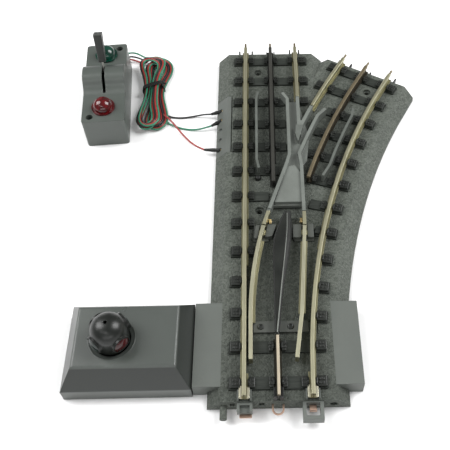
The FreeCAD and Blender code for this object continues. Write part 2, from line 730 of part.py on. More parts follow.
def motor_cover():
    """Bevelled housing with the round recess that the lantern turns in."""
    outer = frustum(0, 0.0, BOX_BAND, BOX_TOP)
    top_edges = [e for e in outer.Edges if all(abs(v.Z - BOX_TOP) < 1e-6 for v in e.Vertexes)]
    outer = outer.makeFillet(1.6, top_edges)
    shell = outer.cut(frustum(BOX_WALL, -1.0, BOX_BAND - 0.6, BOX_TOP - 2.6))
    x, y = LANTERN.x, LANTERN.y
    shell = shell.fuse(post(x, y, 12.0, BOX_TOP - 2.4, 4.0))
    shell = shell.cut(Part.makeCone(9.9, 11.6, 1.7, Vector(x, y, BOX_TOP - 1.7)))
    shell = shell.cut(post(x, y, 0, BOX_TOP + 1, SHAFT_R + RUNNING))
    for sx, sy in motor_screw_places():
        shell = shell.fuse(post(sx, sy, 1.7, 15.4, 2.4)).cut(post(sx, sy, 0.0, 8.0, BORE_R))
    shell = shell.cut(box(-50.0, -40.0, BAR_Y - 2.6, BAR_Y + 2.6, LINK_BOTTOM - 0.5, LINK_TOP + 0.4))
    shell = shell.cut(box(-48.0, -40.0, STRAP_Y - 4.2, STRAP_Y + 4.2, -1.0, STRAP_TOP + 0.3))
    return shell.removeSplitter()


def motor_screw_places():
    xs = (BOX_X[0] + 6.5, BOX_X[1] - 6.5)
    ys = (STRAP_Y, BOX_Y[1] - 6.5)
    return [(x, y) for x in xs for y in ys]


def motor_base():
    """Floor plate of the motor box, notched for the strap."""
    gap = BOX_WALL + 0.2
    plate = box(BOX_X[0] + gap, BOX_X[1] - gap, BOX_Y[0] + gap, BOX_Y[1] - gap, 0.0, 1.5)
    for x, y in motor_screw_places():
        plate = plate.cut(countersink(x, y))
    return plate.cut(box(-55.0, -40.0, STRAP_Y - 4.3, STRAP_Y + 4.3, -1.0, 3.0))


def mounting_strap():
    """Flat strap under both, which ties the motor box to its pad."""
    strap = box(-54.0, -32.6, STRAP_Y - 4.0, STRAP_Y + 4.0, 0.0, STRAP_TOP)
    for x in (BOX_X[1] - 6.5, 6.0 - PAD_OUT):
        strap = strap.cut(countersink(x, STRAP_Y))
    return strap


def coils():
    """Twin throw coils: windings on flanged bobbins."""
    bobbins = []
    windings = []
    for x0, x1 in ((-93.0, -79.0), (-70.0, -56.0)):
        along = Vector(1, 0, 0)
        tube = Part.makeCylinder(2.7, x1 - x0, Vector(x0, COIL_Y, COIL_Z), along)
        for x in (x0, x1 - 1.2):
            tube = tube.fuse(Part.makeCylinder(COIL_R, 1.2, Vector(x, COIL_Y, COIL_Z), along))
        before = Vector(x0 - 5, COIL_Y, COIL_Z)
        bobbins.append(tube.cut(Part.makeCylinder(2.0, 40, before, along)).removeSplitter())
        ring = Part.makeCylinder(COIL_R - 0.4, x1 - x0 - 2.6, Vector(x0 + 1.3, COIL_Y, COIL_Z), along)
        windings.append(ring.cut(Part.makeCylinder(2.72, 40, before, along)))
    return bobbins, windings


def coil_frame():
    """Bent steel frame that carries the coils, standing on the base plate."""
    y0, y1 = COIL_Y - COIL_FRAME_HALF, COIL_Y + COIL_FRAME_HALF
    base = box(-95.0, -54.0, y0, y1, 1.5, 2.7)
    made = [base]
    for x in (-94.4, -55.8):
        made.append(box(x, x + 1.2, y0, y1, 2.5, COIL_Z + 3.2))
    frame = fuse(made)
    return frame.cut(Part.makeCylinder(2.4, 60, Vector(-105, COIL_Y, COIL_Z), Vector(1, 0, 0)))


def plunger():
    return Part.makeCylinder(PLUNGER_R, 36.0, Vector(-94.0, COIL_Y, COIL_Z), Vector(1, 0, 0))


def circuit_board():
    board = box(-73.0, -52.0, 16.0, 33.0, 6.0, 7.4)
    for x, y in ((-71.0, 18.0), (-54.0, 18.0), (-71.0, 31.0), (-54.0, 31.0)):
        board = board.fuse(post(x, y, 1.5, 6.1, 1.2))
    for x, y, w in ((-68.0, 20.0, 4.0), (-62.0, 20.0, 6.0), (-68.0, 26.0, 5.0)):
        board = board.fuse(box(x, x + w, y, y + 3.0, 7.3, 9.4))
    return board.removeSplitter()


# ---------------------------------------------------------------- lantern

def port_axis(angle):
    a = math.radians(angle)
    return Vector(math.cos(a), math.sin(a), 0)


def lantern_body():
    """Round lamp house with four ports set square to each other and a dome above them."""
    x, y = LANTERN.x, LANTERN.y

    def hull(inset):
        low = LANTERN_BOTTOM + inset
        mid = LENS_Z + 3.0
        r = LANTERN_R - inset
        top = LANTERN_TOP - inset
        p = [Vector(0, 0, low), Vector(r - 1.2, 0, low), Vector(r, 0, low + 1.2), Vector(r, 0, mid)]
        dome = Part.Arc(p[3], Vector(0.76 * r, 0, mid + 0.66 * (top - mid)), Vector(0, 0, top)).toShape()
        edges = [Part.makeLine(a, b) for a, b in zip(p, p[1:])]
        edges += [dome, Part.makeLine(Vector(0, 0, top), p[0])]
        solid = Part.Face(Part.Wire(edges)).revolve(Vector(0, 0, 0), Z_AXIS, 360)
        solid.translate(Vector(x, y, 0))
        return solid

    body = hull(0)
    for angle in (45, 135, 225, 315):
        d = port_axis(angle)
        centre = Vector(x, y, LENS_Z)
        body = body.fuse(Part.makeCylinder(5.0, LANTERN_R + 0.7, centre, d))
    body = body.cut(hull(1.3))
    for angle in (45, 135, 225, 315):
        d = port_axis(angle)
        centre = Vector(x, y, LENS_Z)
        body = body.cut(Part.makeCylinder(4.0, 20, centre, d))
        body = body.cut(Part.makeCylinder(4.3, 20, centre + d * (LANTERN_R - 0.4), d))
    body = body.cut(post(x, y, LANTERN_BOTTOM - 1, LANTERN_BOTTOM + 3, SHAFT_R))
    body = body.cut(post(x, y, LANTERN_TOP - 3, LANTERN_TOP + 1, 0.9))
    return body.removeSplitter()


def lantern_lens(angle):
    """Domed lens seated in a port."""
    d = port_axis(angle)
    seat = Vector(LANTERN.x, LANTERN.y, LENS_Z) + d * (LANTERN_R - 0.35)
    plug = Part.makeCylinder(3.9, 1.6, seat - d * 1.5, d)
    rim = Part.makeCylinder(4.2, 0.8, seat, d)
    ball = Part.makeSphere(6.0, seat + d * (0.8 - 4.5))
    ball = ball.common(Part.makeCylinder(3.96, 3.0, seat + d * 0.7, d))
    return fuse([plug, rim, ball])


def lantern_shaft():
    """Hollow shaft with the crank disc and pin that ride in the link's fork."""
    x, y = LANTERN.x, LANTERN.y
    tube = post(x, y, 7.0, LANTERN_BOTTOM + 1.3, SHAFT_R)
    disc = post(x, y, 7.0, 8.4, 4.0)
    half = CRANK / math.sqrt(2)
    pin = post(x - half, y + half, 5.0, 7.4, CRANK_PIN_R)
    return fuse([tube, disc, pin]).cut(post(x, y, 0, 40, 1.1))


def lantern_lamp():
    """Fixed lamp on its post inside the turning lantern."""
    x, y = LANTERN.x, LANTERN.y
    stem = post(x, y, 1.5, 24.2, 0.9)
    bulb = post(x, y, 24.0, 28.0, 2.0).fuse(Part.makeSphere(2.0, Vector(x, y, 28.0)))
    return [stem, bulb.cut(post(x, y, 20, 24.2, 0.9)).removeSplitter()]


# ---------------------------------------------------------------- toe and far ends

def toe_clips():
    """Moulded clips that stand out under the running rails at the toe end."""
    left = box(-20.8, -13.0, -4.8, -0.05, 5.2, 9.2).cut(box(-19.4, -14.4, -6.0, -1.4, 7.0, 10.0))
    right = box(11.8, 22.2, -9.4, -0.05, 4.0, 9.2)
    right = right.cut(box(13.6, 20.4, -7.4, -0.8, 3.0, 10.0))
    return [left, right.removeSplitter()]


def contact_strips():
    """Copper contact springs that carry power to the next piece of track."""
    left = box(-19.6, -13.4, -6.4, -0.05, 4.2, 4.9)
    ring = post(-0.3, -2.6, 5.2, 5.9, 3.1).cut(post(-0.3, -2.6, 5.0, 6.0, 2.2))
    ring = ring.cut(box(-5, 5, -2.6, 2, 5, 6))
    legs = box(-3.4, -2.5, -2.7, -0.05, 5.2, 5.9).fuse(box(1.9, 2.8, -2.7, -0.05, 5.2, 5.9))
    right = box(15.2, 18.8, -4.2, -0.85, 5.0, 5.7).fuse(box(15.2, 18.8, -4.2, -3.5, 5.0, 8.0))
    return [left, fuse([ring, legs]), right.removeSplitter()]


def end_prongs():
    """Spring prongs of the clips at a far end, in straight route places."""
    made = []
    for x in (-RAIL_X - 4.4, -RAIL_X + 4.4):
        made.append(box(x - 0.5, x + 0.5, LENGTH + 0.05, LENGTH + 5.0, 6.0, 8.6))
    for x, reach in ((0.2, 3.0), (RAIL_X, 3.7)):
        bar = box(x - reach, x + reach, LENGTH + 0.05, LENGTH + 1.4, 6.0, 9.0)
        for side in BOTH:
            a, b = sorted((x + side * reach, x + side * (reach - 0.9)))
            bar = bar.fuse(box(a, b, LENGTH + 0.05, LENGTH + (5.4 if reach > 3.5 else 3.2), 6.0, 9.0))
        made.append(bar.removeSplitter())
    return made


def end_clips():
    """The same prongs at both far ends."""
    made = end_prongs()
    for solid in end_prongs():
        solid.translate(Vector(0, CURVE_START + CURVE_EXIT - LENGTH, 0))
        made.append(on_curve(solid, CURVE_ANGLE))
    return made


# ---------------------------------------------------------------- terminals

def terminal_block():
    """Smooth block let into the roadbed's shoulder, with a row of five holes in its slope."""
    slope = [(-BED_HALF, 0.0), (-BED_HALF + 0.3, BED_EDGE), (-BED_SHOULDER, BED_TOP)]
    block = run(slope + [(TERMINAL_INNER, BED_TOP), (TERMINAL_INNER, 0.0)], *TERMINAL_ENDS)
    for y in TERMINALS_Y:
        mouth = Vector(-40, y, TERMINAL_Z)
        block = block.cut(Part.makeCylinder(HOLE_LINER_R, 40 + SOCKET_END, mouth, Vector(1, 0, 0)))
    return block


def terminal_sockets():
    """Brass tubes that line the terminal holes."""
    made = []
    for y in TERMINALS_Y:
        start = Vector(SOCKET_MOUTH, y, TERMINAL_Z)
        deep = SOCKET_END - SOCKET_MOUTH
        liner = Part.makeCylinder(HOLE_LINER_R, deep, start, Vector(1, 0, 0))
        made.append(liner.cut(Part.makeCylinder(SOCKET_R, deep - 0.6, start, Vector(1, 0, 0))))
    return made


def plug_pin(place):
    """Pin in a socket, from its bottom to the boot outside."""
    y = TERMINALS_Y[place]
    return Part.makeCylinder(PLUG_PIN_R, 4.4, Vector(TERMINAL_MOUTH - 0.3, y, TERMINAL_Z), Vector(1, 0, 0))


def boot(name):
    """Shrunk sleeve over the joint of pin and wire, narrower towards the wire."""
    place, end = WIRED[name]
    head = Vector(TERMINAL_MOUTH - 0.3, TERMINALS_Y[place], TERMINAL_Z)
    tail = Vector(*end)
    along = tail - head
    middle = head + along * 0.5
    rings = [(BOOT_R, head, Vector(-1, 0, 0)), (0.9 * BOOT_R, middle, along), (0.65 * BOOT_R, tail, along)]
    return Part.makeLoft([Part.Wire(Part.makeCircle(r, at, facing)) for r, at, facing in rings], True, True)


# ---------------------------------------------------------------- controller

def placed(shape):
    """Put a controller part, made in its own frame, where the controller stands."""
    moved = shape.copy()
    moved.rotate(Vector(0, 0, 0), Z_AXIS, CASE_TURN)
    moved.translate(CASE_AT)
    return moved


def case_profile(inset):
    """Side view of the case: flat, easy rise, crown, shorter fall, flat."""
    low = 0.0 if inset == 0 else -1.0
    flat = CASE_FLAT - inset
    crown = CASE_CROWN - inset
    s0, s1 = inset, CASE_LONG - inset
    a, b = HUMP
    edges = []
    start = Vector(0, s0, low)
    rise = [(a + 0.4 * inset, flat), (a + 7.4, flat + 4.6), (a + 12.5, crown)]
    fall = [(b - 4.6, crown - 1.2), (b - 0.6 - 0.8 * inset, flat)]
    p = [Vector(0, s, z) for s, z in [(s0, flat)] + rise + fall + [(s1, flat), (s1, low)]]
    high = crown - flat
    through = [
        (a + 4.4 + 0.2 * inset, flat + 1.5), (a + 9.7, flat + 0.88 * high),
        (b - 8.0, crown - 0.1), (b - 1.6 - 0.6 * inset, flat + 0.5 * high),
    ]
    edges.append(Part.makeLine(start, p[0]))
    edges.append(Part.makeLine(p[0], p[1]))
    for i, (s, z) in enumerate(through):
        edges.append(Part.Arc(p[i + 1], Vector(0, s, z), p[i + 2]).toShape())
    edges.append(Part.makeLine(p[5], p[6]))
    edges.append(Part.makeLine(p[6], p[7]))
    edges.append(Part.makeLine(p[7], start))
    return Part.Face(Part.Wire(edges))


def case_block(inset):
    face = case_profile(inset)
    half = CASE_HALF - inset
    face.translate(Vector(-half, 0, 0))
    return face.extrude(Vector(2 * half, 0, 0))


def controller_case():
    outer = case_block(0)
    upright = [e for e in outer.Edges if len(e.Vertexes) == 2
               and abs(e.Vertexes[0].X - e.Vertexes[1].X) < 1e-6
               and abs(e.Vertexes[0].Y - e.Vertexes[1].Y) < 1e-6]
    shell = outer.makeFillet(1.8, upright).cut(case_block(CASE_WALL))
    for t, s in HOLES:
        shell = shell.fuse(post(t, s, 0.0, CASE_FLAT - 0.5, HOLE_R + 1.3))
        shell = shell.cut(post(t, s, -1, CASE_FLAT + 1, HOLE_R))
    for s in LENS_S:
        shell = shell.cut(post(0, s, CASE_FLAT - 3, CASE_FLAT + 1, LENS_NECK_R + 0.1))
    wire_way = Vector(GROMMET[0], CASE_LONG - CASE_WALL - 0.1, GROMMET[1])
    shell = shell.cut(Part.makeCylinder(GROMMET_R, CASE_WALL + 1, wire_way, Vector(0, 1, 0)))
    # two brackets under the hump carry the lever's pin
    for side in BOTH:
        a, b = sorted((side * 5.0, side * 7.4))
        shell = shell.fuse(box(a, b, PIVOT_S - 3, PIVOT_S + 3, PIVOT_Z - 4, 26.8))
        inside = Vector(side * 4.6, PIVOT_S, PIVOT_Z)
        shell = shell.cut(Part.makeCylinder(LEVER_PIN_R, 3.2, inside, Vector(side, 0, 0)))
    shell = shell.cut(box(-SLOT_HALF, SLOT_HALF, SLOT[0], SLOT[1], CASE_FLAT - 3, 40))
    return placed(shell.removeSplitter())


def controller_base():
    """Floor plate, with its corners cut back round the mounting holes."""
    half = CASE_HALF - CASE_WALL - 0.2
    s0, s1 = CASE_WALL + 0.2, CASE_LONG - CASE_WALL - 0.2
    reach = HOLE_R + 1.6
    plate = box(-half, half, s0, s1, 0.0, 1.4)
    front_t, front_s = HOLES[0]
    rear_t, rear_s = HOLES[1]
    plate = plate.cut(box(-half - 1, front_t + reach, s0 - 1, front_s + reach, -1, 3))
    return placed(plate.cut(box(rear_t - reach, half + 1, rear_s - reach, s1 + 1, -1, 3)))


def controller_lens(s):
    """Domed hollow lens with a flange that rests on the case."""
    flange = post(0, s, CASE_FLAT, CASE_FLAT + 1.3, LENS_R)
    neck = post(0, s, CASE_FLAT - CASE_WALL - 0.8, CASE_FLAT + 0.1, LENS_NECK_R)
    centre = Vector(0, s, CASE_FLAT + 0.9)
    dome = Part.makeSphere(6.4, centre).common(box(-9, 9, s - 9, s + 9, CASE_FLAT + 1.2, 40))
    hollow = Part.makeSphere(4.6, centre).fuse(post(0, s, 10, centre.z, 4.6))
    return placed(fuse([flange, neck, dome]).cut(hollow))


def controller_bulbs():
    made = []
    for s in LENS_S:
        bulb = post(0, s, 14.0, 21.0, 1.9).fuse(Part.makeSphere(1.9, Vector(0, s, 21.0)))
        made.append(placed(bulb.removeSplitter()))
    return made


def controller_board():
    """Board with the lamp holders, and the contact leaves either side of the lever's tail."""
    board = box(-7.6, 7.6, 9.6, 63.0, 3.0, 4.4)
    for t, s in ((-5.8, 12.0), (5.8, 22.0), (-5.8, 50.0), (5.8, 60.0)):
        board = board.fuse(post(t, s, 1.4, 3.1, 1.4))
    for s in LENS_S:
        board = board.fuse(post(0, s, 4.3, 14.0, 2.6))
    board = board.cut(box(-3.2, 3.2, PIVOT_S - 5.5, PIVOT_S + 5.5, 0, 8))
    made = [placed(board.removeSplitter())]
    for side in BOTH:
        s = PIVOT_S + side * 8.0
        foot = box(-2.0, 2.0, min(s, s + side * 3.0), max(s, s + side * 3.0), 4.4, 4.8)
        made.append(placed(fuse([box(-2.0, 2.0, s - 0.2, s + 0.2, 4.4, 9.0), foot])))
    return made


def leaned(shape):
    shape = shape.copy()
    shape.rotate(Vector(0, PIVOT_S, PIVOT_Z), Vector(1, 0, 0), -LEVER_LEAN)
    return placed(shape)


def lever_rod():
    """Hub on the pivot pin, tail below it and the round rod above."""
    hub = Part.makeCylinder(2.6, 6.0, Vector(-3.0, PIVOT_S, PIVOT_Z), Vector(1, 0, 0))
    rod = post(0, PIVOT_S, PIVOT_Z, PIVOT_Z + ROD_LONG, ROD_R)
    tail = box(-1.0, 1.0, PIVOT_S - 0.8, PIVOT_S + 0.8, PIVOT_Z - 5.0, PIVOT_Z)
    bore = Part.makeCylinder(LEVER_PIN_R + RUNNING, 20, Vector(-10, PIVOT_S, PIVOT_Z), Vector(1, 0, 0))
    return leaned(fuse([hub, rod, tail]).cut(bore))


def lever_knob():
    """Flat-sided handle over the rod's upper end, wider towards the top."""
    low, high = PIVOT_Z + 22.8, PIVOT_Z + 41.0

    def ring(half_t, half_s, z):
        corners = ((-half_t, -half_s), (half_t, -half_s), (half_t, half_s), (-half_t, half_s))
        loop = [Vector(t, PIVOT_S + s, z) for t, s in corners]
        return Part.makePolygon(loop + loop[:1])

    knob = Part.makeLoft([ring(2.3, 2.2, low), ring(2.7, 3.3, high)], True, True)
    knob = knob.makeFillet(0.7, [e for e in knob.Edges if abs(e.Vertexes[0].Z - e.Vertexes[1].Z) > 1])
    return leaned(knob.cut(post(0, PIVOT_S, low - 1, PIVOT_Z + ROD_LONG, ROD_R)))


def lever_pin():
    return placed(Part.makeCylinder(LEVER_PIN_R, 14.6, Vector(-7.3, PIVOT_S, PIVOT_Z), Vector(1, 0, 0)))


def wire_grommet():
    """Grommet in the rear face that the three wires leave through."""
    t, z = GROMMET
    body = Part.makeCylinder(GROMMET_R, CASE_WALL, Vector(t, CASE_LONG - CASE_WALL, z), Vector(0, 1, 0))
    flange = Part.makeCylinder(GROMMET_R + 0.5, 0.8, Vector(t, CASE_LONG, z), Vector(0, 1, 0))
    return placed(body.fuse(flange).removeSplitter())


# ---------------------------------------------------------------- wires

def cord_path(points):
    """Straight runs joined by tangent arcs as large as the runs allow; also returns the smallest radius."""
    pts = [Vector(*p) for p in points]
    edges = []
    here = pts[0]
    tightest = 1e9
    for i in range(1, len(pts) - 1):
        before = (pts[i] - pts[i - 1]).Length
        after = (pts[i + 1] - pts[i]).Length
        d0 = (pts[i] - pts[i - 1]).normalize()
        d1 = (pts[i + 1] - pts[i]).normalize()
        half_turn = 0.5 * d0.getAngle(d1)
        reach = 0.45 * min(before, after)
        tightest = min(tightest, reach / math.tan(half_turn))
        start = pts[i] - d0 * reach
        end = pts[i] + d1 * reach
        bulge = (start + end) * 0.5
        cosine = math.cos(half_turn)
        share = (1 / cosine - 1) / (cosine * math.tan(half_turn) ** 2)
        middle = pts[i] + (bulge - pts[i]) * share
        edges.append(Part.LineSegment(here, start).toShape())
        edges.append(Part.Arc(start, middle, end).toShape())
        here = end
    edges.append(Part.LineSegment(here, pts[-1]).toShape())
    return Part.Wire(edges), tightest


def tube(name, points):
    path, tightest = cord_path(points)
    first = Vector(*points[0])
    along = Vector(*points[1]) - first
    ring = Part.Wire(Part.makeCircle(WIRE_R, first, along))
    solid = path.makePipeShell([ring], True, False)
    filled = solid.Volume / (math.pi * WIRE_R ** 2 * path.Length)
    print(f"{name}: {path.Length:.1f} mm, tightest radius {tightest:.1f} mm, {filled:.3f} of section x length")
    return solid


# ways of the three wires from the controller to the hank
LEADS = {
    "green": [(-104.2, 253.94, 5.8), (-104.4, 257.2, 6.0), (-102.6, 260.3, 6.3), (-99.0, 262.0, 6.4),
              (-95.2, 261.8, 6.0), (-91.8, 260.2, 5.4), (-88.8, 258.2, 4.9)],
    "black": [(-104.4, 253.93, 4.3), (-104.5, 256.9, 4.4), (-102.7, 259.5, 4.3), (-99.3, 260.8, 3.9),
              (-95.5, 260.3, 3.6), (-92.0, 258.8, 3.4), (-88.9, 256.8, 3.2)],
    "red": [(-105.68, 253.84, 4.9), (-105.9, 256.9, 4.1), (-103.9, 259.2, 3.1), (-100.6, 260.0, 2.3),
            (-96.8, 259.2, 1.9), (-92.8, 257.3, 1.7), (-89.2, 254.9, 1.6)],
}

# ways of the three wires from the hank to their boots
TAILS = {
    "black": [(-74.6, 208.4, 1.6), (-72.2, 206.2, 1.2), (-69.2, 204.2, 0.9), (-65.2, 203.0, 0.7),
              (-60.4, 202.5, 0.7), (-54.8, 203.1, 0.8), (-49.0, 203.8, 1.5), (-44.2, 203.7, 2.7)],
    "green": [(-74.8, 203.6, 1.2), (-72.2, 201.0, 0.9), (-69.0, 198.2, 0.7), (-64.8, 195.3, 0.7),
              (-59.6, 192.9, 0.7), (-53.6, 191.5, 0.8), (-48.2, 191.2, 1.5), (-43.8, 191.6, 2.6)],
    "red": [(-74.4, 205.8, 2.2), (-71.8, 204.0, 2.4), (-68.8, 200.9, 2.6), (-65.4, 196.6, 2.4),
            (-61.6, 191.4, 1.4), (-57.2, 185.4, 0.8), (-52.4, 179.6, 0.9), (-47.6, 174.9, 1.9)],
}


def tail_points(name):
    return TAILS[name] + [WIRED[name][1]]


def wire_hank():
    """Outer shape of the folded wires: two lobes with a waist at the tie."""
    left_side = [
        (-88.6, 258.0), (-89.6, 250.0), (-87.6, 238.0), (-86.0, 229.0), (-86.6, 218.0), (-87.6, 204.0),
    ]
    near_end = [(-86.4, 194.0), (-82.6, 188.4), (-77.4, 187.2), (-73.4, 191.0)]
    right_side = [
        (-72.0, 199.0), (-73.0, 210.0), (-74.8, 221.0), (-74.8, 229.0), (-72.6, 238.0), (-71.0, 247.0),
    ]
    far_end = [(-72.2, 254.5), (-76.2, 258.6), (-81.6, 260.6), (-86.4, 260.4)]
    return prism(left_side + near_end + right_side + far_end, 0.0, 7.4)


def hank_tie():
    """Wire tie twisted round the hank's waist, with its two ends."""
    outer = box(-87.4, -73.6, 226.4, 230.6, 0.0, 8.6)
    inner = box(-86.7, -74.1, 226.0, 231.0, -0.1, 7.9)
    ends = [box(-73.7, -71.8, 229.0, 230.2, 5.0, 6.4), box(-73.7, -72.2, 226.8, 228.0, 3.0, 4.4)]
    return outer.cut(inner).fuse(ends[0]).fuse(ends[1]).removeSplitter()


def main():
    os.makedirs("parts", exist_ok=True)
    save("roadbed", roadbed())
    save("bottom_cover", bottom_cover())
    strap_screws = [(BOX_X[1] - 6.5, STRAP_Y), (6.0 - PAD_OUT, STRAP_Y)]
    places = set(cover_screw_places() + motor_screw_places() + strap_screws)
    save("base_screws", *[screw(x, y) for x, y in sorted(places)])
    save("ties_straight", *straight_ties())
    save("ties_curved", *curved_ties())
    save("stock_rail_straight", stock_rail_straight())
    save("stock_rail_curved", stock_rail_curved())
    save("exit_rails", exit_rail_straight(), exit_rail_curved())
    save("centre_rail_toe", centre_rail_toe())
    save("centre_rail_straight", centre_rail_straight())
    save("centre_rail_curved", centre_rail_curved())
    save("rail_pins", *rail_pins())
    save("frog_casting", frog_casting())
    save("guard_rail_left", guard_rail_left())
    save("guard_rail_right", guard_rail_right())
    save("centre_wedge", centre_wedge())
    save("wedge_ridge", wedge_ridge())
    save("closure_rails", *closure_rails())
    save("heel_brackets", *heel_brackets())
    save("heel_pins", *heel_pins())
    save("point_rail_curved", point_rail_curved())
    save("point_rail_straight", point_rail_straight())
    save("throw_bar", throw_bar())
    save("throw_bar_rivets", *throw_bar_rivets())
    save("drive_link", drive_link())
    save("toe_clips", *toe_clips())
    save("contact_strips", *contact_strips())
    save("end_clips", *end_clips())
    save("terminal_block", terminal_block())
    save("terminal_sockets", *terminal_sockets())
    save("motor_cover", motor_cover())
    save("motor_base", motor_base())
    save("mounting_strap", mounting_strap())
    bobbins, windings = coils()
    save("coil_bobbins", *bobbins)
    save("coil_windings", *windings)
    save("coil_frame", coil_frame())
    save("plunger", plunger())
    save("circuit_board", circuit_board())
    save("lantern_lamp", *lantern_lamp())
    save("lantern_shaft", lantern_shaft())
    save("lantern_body", lantern_body())
    save("lantern_lenses_red", lantern_lens(315), lantern_lens(135))
    save("lantern_lenses_green", lantern_lens(225), lantern_lens(45))
    save("controller_case", controller_case())
    save("controller_base", controller_base())
    save("controller_lens_red", controller_lens(LENS_S[0]))
    save("controller_lens_green", controller_lens(LENS_S[1]))
    save("controller_bulbs", *controller_bulbs())
    save("controller_board", *controller_board())
    save("lever_pin", lever_pin())
    save("lever_rod", lever_rod())
    save("lever_knob", lever_knob())
    save("wire_grommet", wire_grommet())
    save("flat_cable", *[tube("cable, " + name, points) for name, points in LEADS.items()])
    save("wire_hank", wire_hank())
    save("hank_tie", hank_tie())
    for name in WIRED:
        save("wire_" + name, tube("wire, " + name, tail_points(name)))
    save("wire_boots", *[boot(name) for name in WIRED], *[plug_pin(WIRED[name][0]) for name in WIRED])


if __name__ == "__main__":
    main()
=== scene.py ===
"""Looks of the three-rail turnout, its motor box and its lever controller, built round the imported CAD."""
import math
import random

import bmesh
import bpy
from mathutils import Matrix, Vector


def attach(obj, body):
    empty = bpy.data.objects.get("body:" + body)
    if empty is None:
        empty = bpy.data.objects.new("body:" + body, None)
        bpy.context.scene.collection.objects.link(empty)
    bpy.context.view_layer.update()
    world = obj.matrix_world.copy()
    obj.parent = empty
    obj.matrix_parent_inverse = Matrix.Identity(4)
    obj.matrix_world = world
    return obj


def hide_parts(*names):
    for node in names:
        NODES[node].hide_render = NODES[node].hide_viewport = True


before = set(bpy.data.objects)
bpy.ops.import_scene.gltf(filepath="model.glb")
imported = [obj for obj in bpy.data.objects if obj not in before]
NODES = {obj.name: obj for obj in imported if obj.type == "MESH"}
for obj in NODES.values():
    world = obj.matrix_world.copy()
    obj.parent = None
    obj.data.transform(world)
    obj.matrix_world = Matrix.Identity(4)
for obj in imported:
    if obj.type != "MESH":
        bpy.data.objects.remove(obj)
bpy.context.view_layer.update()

MM = 0.001
random.seed(7)

# ---------------------------------------------------------------- camera

CAMERA_AT = (-0.00406, -0.13136, 0.34278)
CAMERA_TILT = 35.564
CAMERA_TURN = -1.268
CAMERA_LENS = 56.36
CAMERA_SHIFT = -0.1144


def make_camera():
    data = bpy.data.cameras.new("camera")
    data.lens = CAMERA_LENS
    data.sensor_width = 36.0
    data.shift_x = CAMERA_SHIFT
    data.clip_start = 0.01
    data.clip_end = 20.0
    camera = bpy.data.objects.new("camera", data)
    camera.location = CAMERA_AT
    camera.rotation_euler = (math.radians(CAMERA_TILT), 0, math.radians(CAMERA_TURN))
    bpy.context.scene.collection.objects.link(camera)
    bpy.context.scene.camera = camera


# ---------------------------------------------------------------- materials

def node(tree, kind, **settings):
    made = tree.nodes.new("ShaderNode" + kind)
    for key, value in settings.items():
        setattr(made, key, value)
    return made


def link(tree, source, target):
    tree.links.new(source, target)


def place(tree, stretch=(1, 1, 1)):
    """Object coordinates, scaled to run grain along one direction."""
    where = node(tree, "TexCoord")
    scaled = node(tree, "Mapping")
    scaled.inputs["Scale"].default_value = stretch
    link(tree, where.outputs["Object"], scaled.inputs["Vector"])
    return scaled.outputs["Vector"]


def noise(tree, vector, scale, detail=4.0, roughness=0.6):
    made = node(tree, "TexNoise")
    made.inputs["Scale"].default_value = scale
    made.inputs["Detail"].default_value = detail
    made.inputs["Roughness"].default_value = roughness
    link(tree, vector, made.inputs["Vector"])
    return made.outputs["Fac"]


def cells(tree, vector, scale):
    made = node(tree, "TexVoronoi")
    made.inputs["Scale"].default_value = scale
    link(tree, vector, made.inputs["Vector"])
    return made


def spread(tree, value, low, high, to_low=0.0, to_high=1.0):
    made = node(tree, "MapRange")
    for name, number in (("From Min", low), ("From Max", high), ("To Min", to_low), ("To Max", to_high)):
        made.inputs[name].default_value = number
    link(tree, value, made.inputs["Value"])
    return made.outputs["Result"]


def calc(tree, operation, a, b=None):
    made = node(tree, "Math", operation=operation)
    for i, value in enumerate((a, b)):
        if value is None:
            continue
        if isinstance(value, (int, float)):
            made.inputs[i].default_value = value
        else:
            link(tree, value, made.inputs[i])
    return made.outputs[0]


def blend(tree, factor, a, b):
    """Colour between a and b; each is a colour or a socket."""
    made = node(tree, "Mix", data_type="RGBA")
    link(tree, factor, made.inputs[0])
    for i, colour in ((6, a), (7, b)):
        if isinstance(colour, tuple):
            made.inputs[i].default_value = (*colour, 1.0)
        else:
            link(tree, colour, made.inputs[i])
    return made.outputs[2]


def inside(tree, value, low, high, soft):
    """One where a coordinate is between two limits, fading over a soft edge."""
    up = spread(tree, value, low - soft, low + soft)
    down = spread(tree, value, high - soft, high + soft, 1.0, 0.0)
    return calc(tree, "MULTIPLY", up, down)


def start(name):
    material = bpy.data.materials.new(name)
    material.use_nodes = True
    tree = material.node_tree
    tree.nodes.clear()
    shader = node(tree, "BsdfPrincipled")
    out = node(tree, "OutputMaterial")
    link(tree, shader.outputs[0], out.inputs["Surface"])
    return material, tree, shader


def finish_surface(tree, shader, height, strength, distance, edge):
    """Fine relief over edges that are slightly rounded."""
    bump = node(tree, "Bump")
    bump.inputs["Strength"].default_value = strength
    bump.inputs["Distance"].default_value = distance * MM
    link(tree, height, bump.inputs["Height"])
    if edge:
        soft = node(tree, "Bevel", samples=4)
        soft.inputs["Radius"].default_value = edge * MM
        link(tree, soft.outputs["Normal"], bump.inputs["Normal"])
    link(tree, bump.outputs["Normal"], shader.inputs["Normal"])


# share of the dark tone that the painted shade band is darkened to
PAINTED_SHADE_SHARE = 0.46


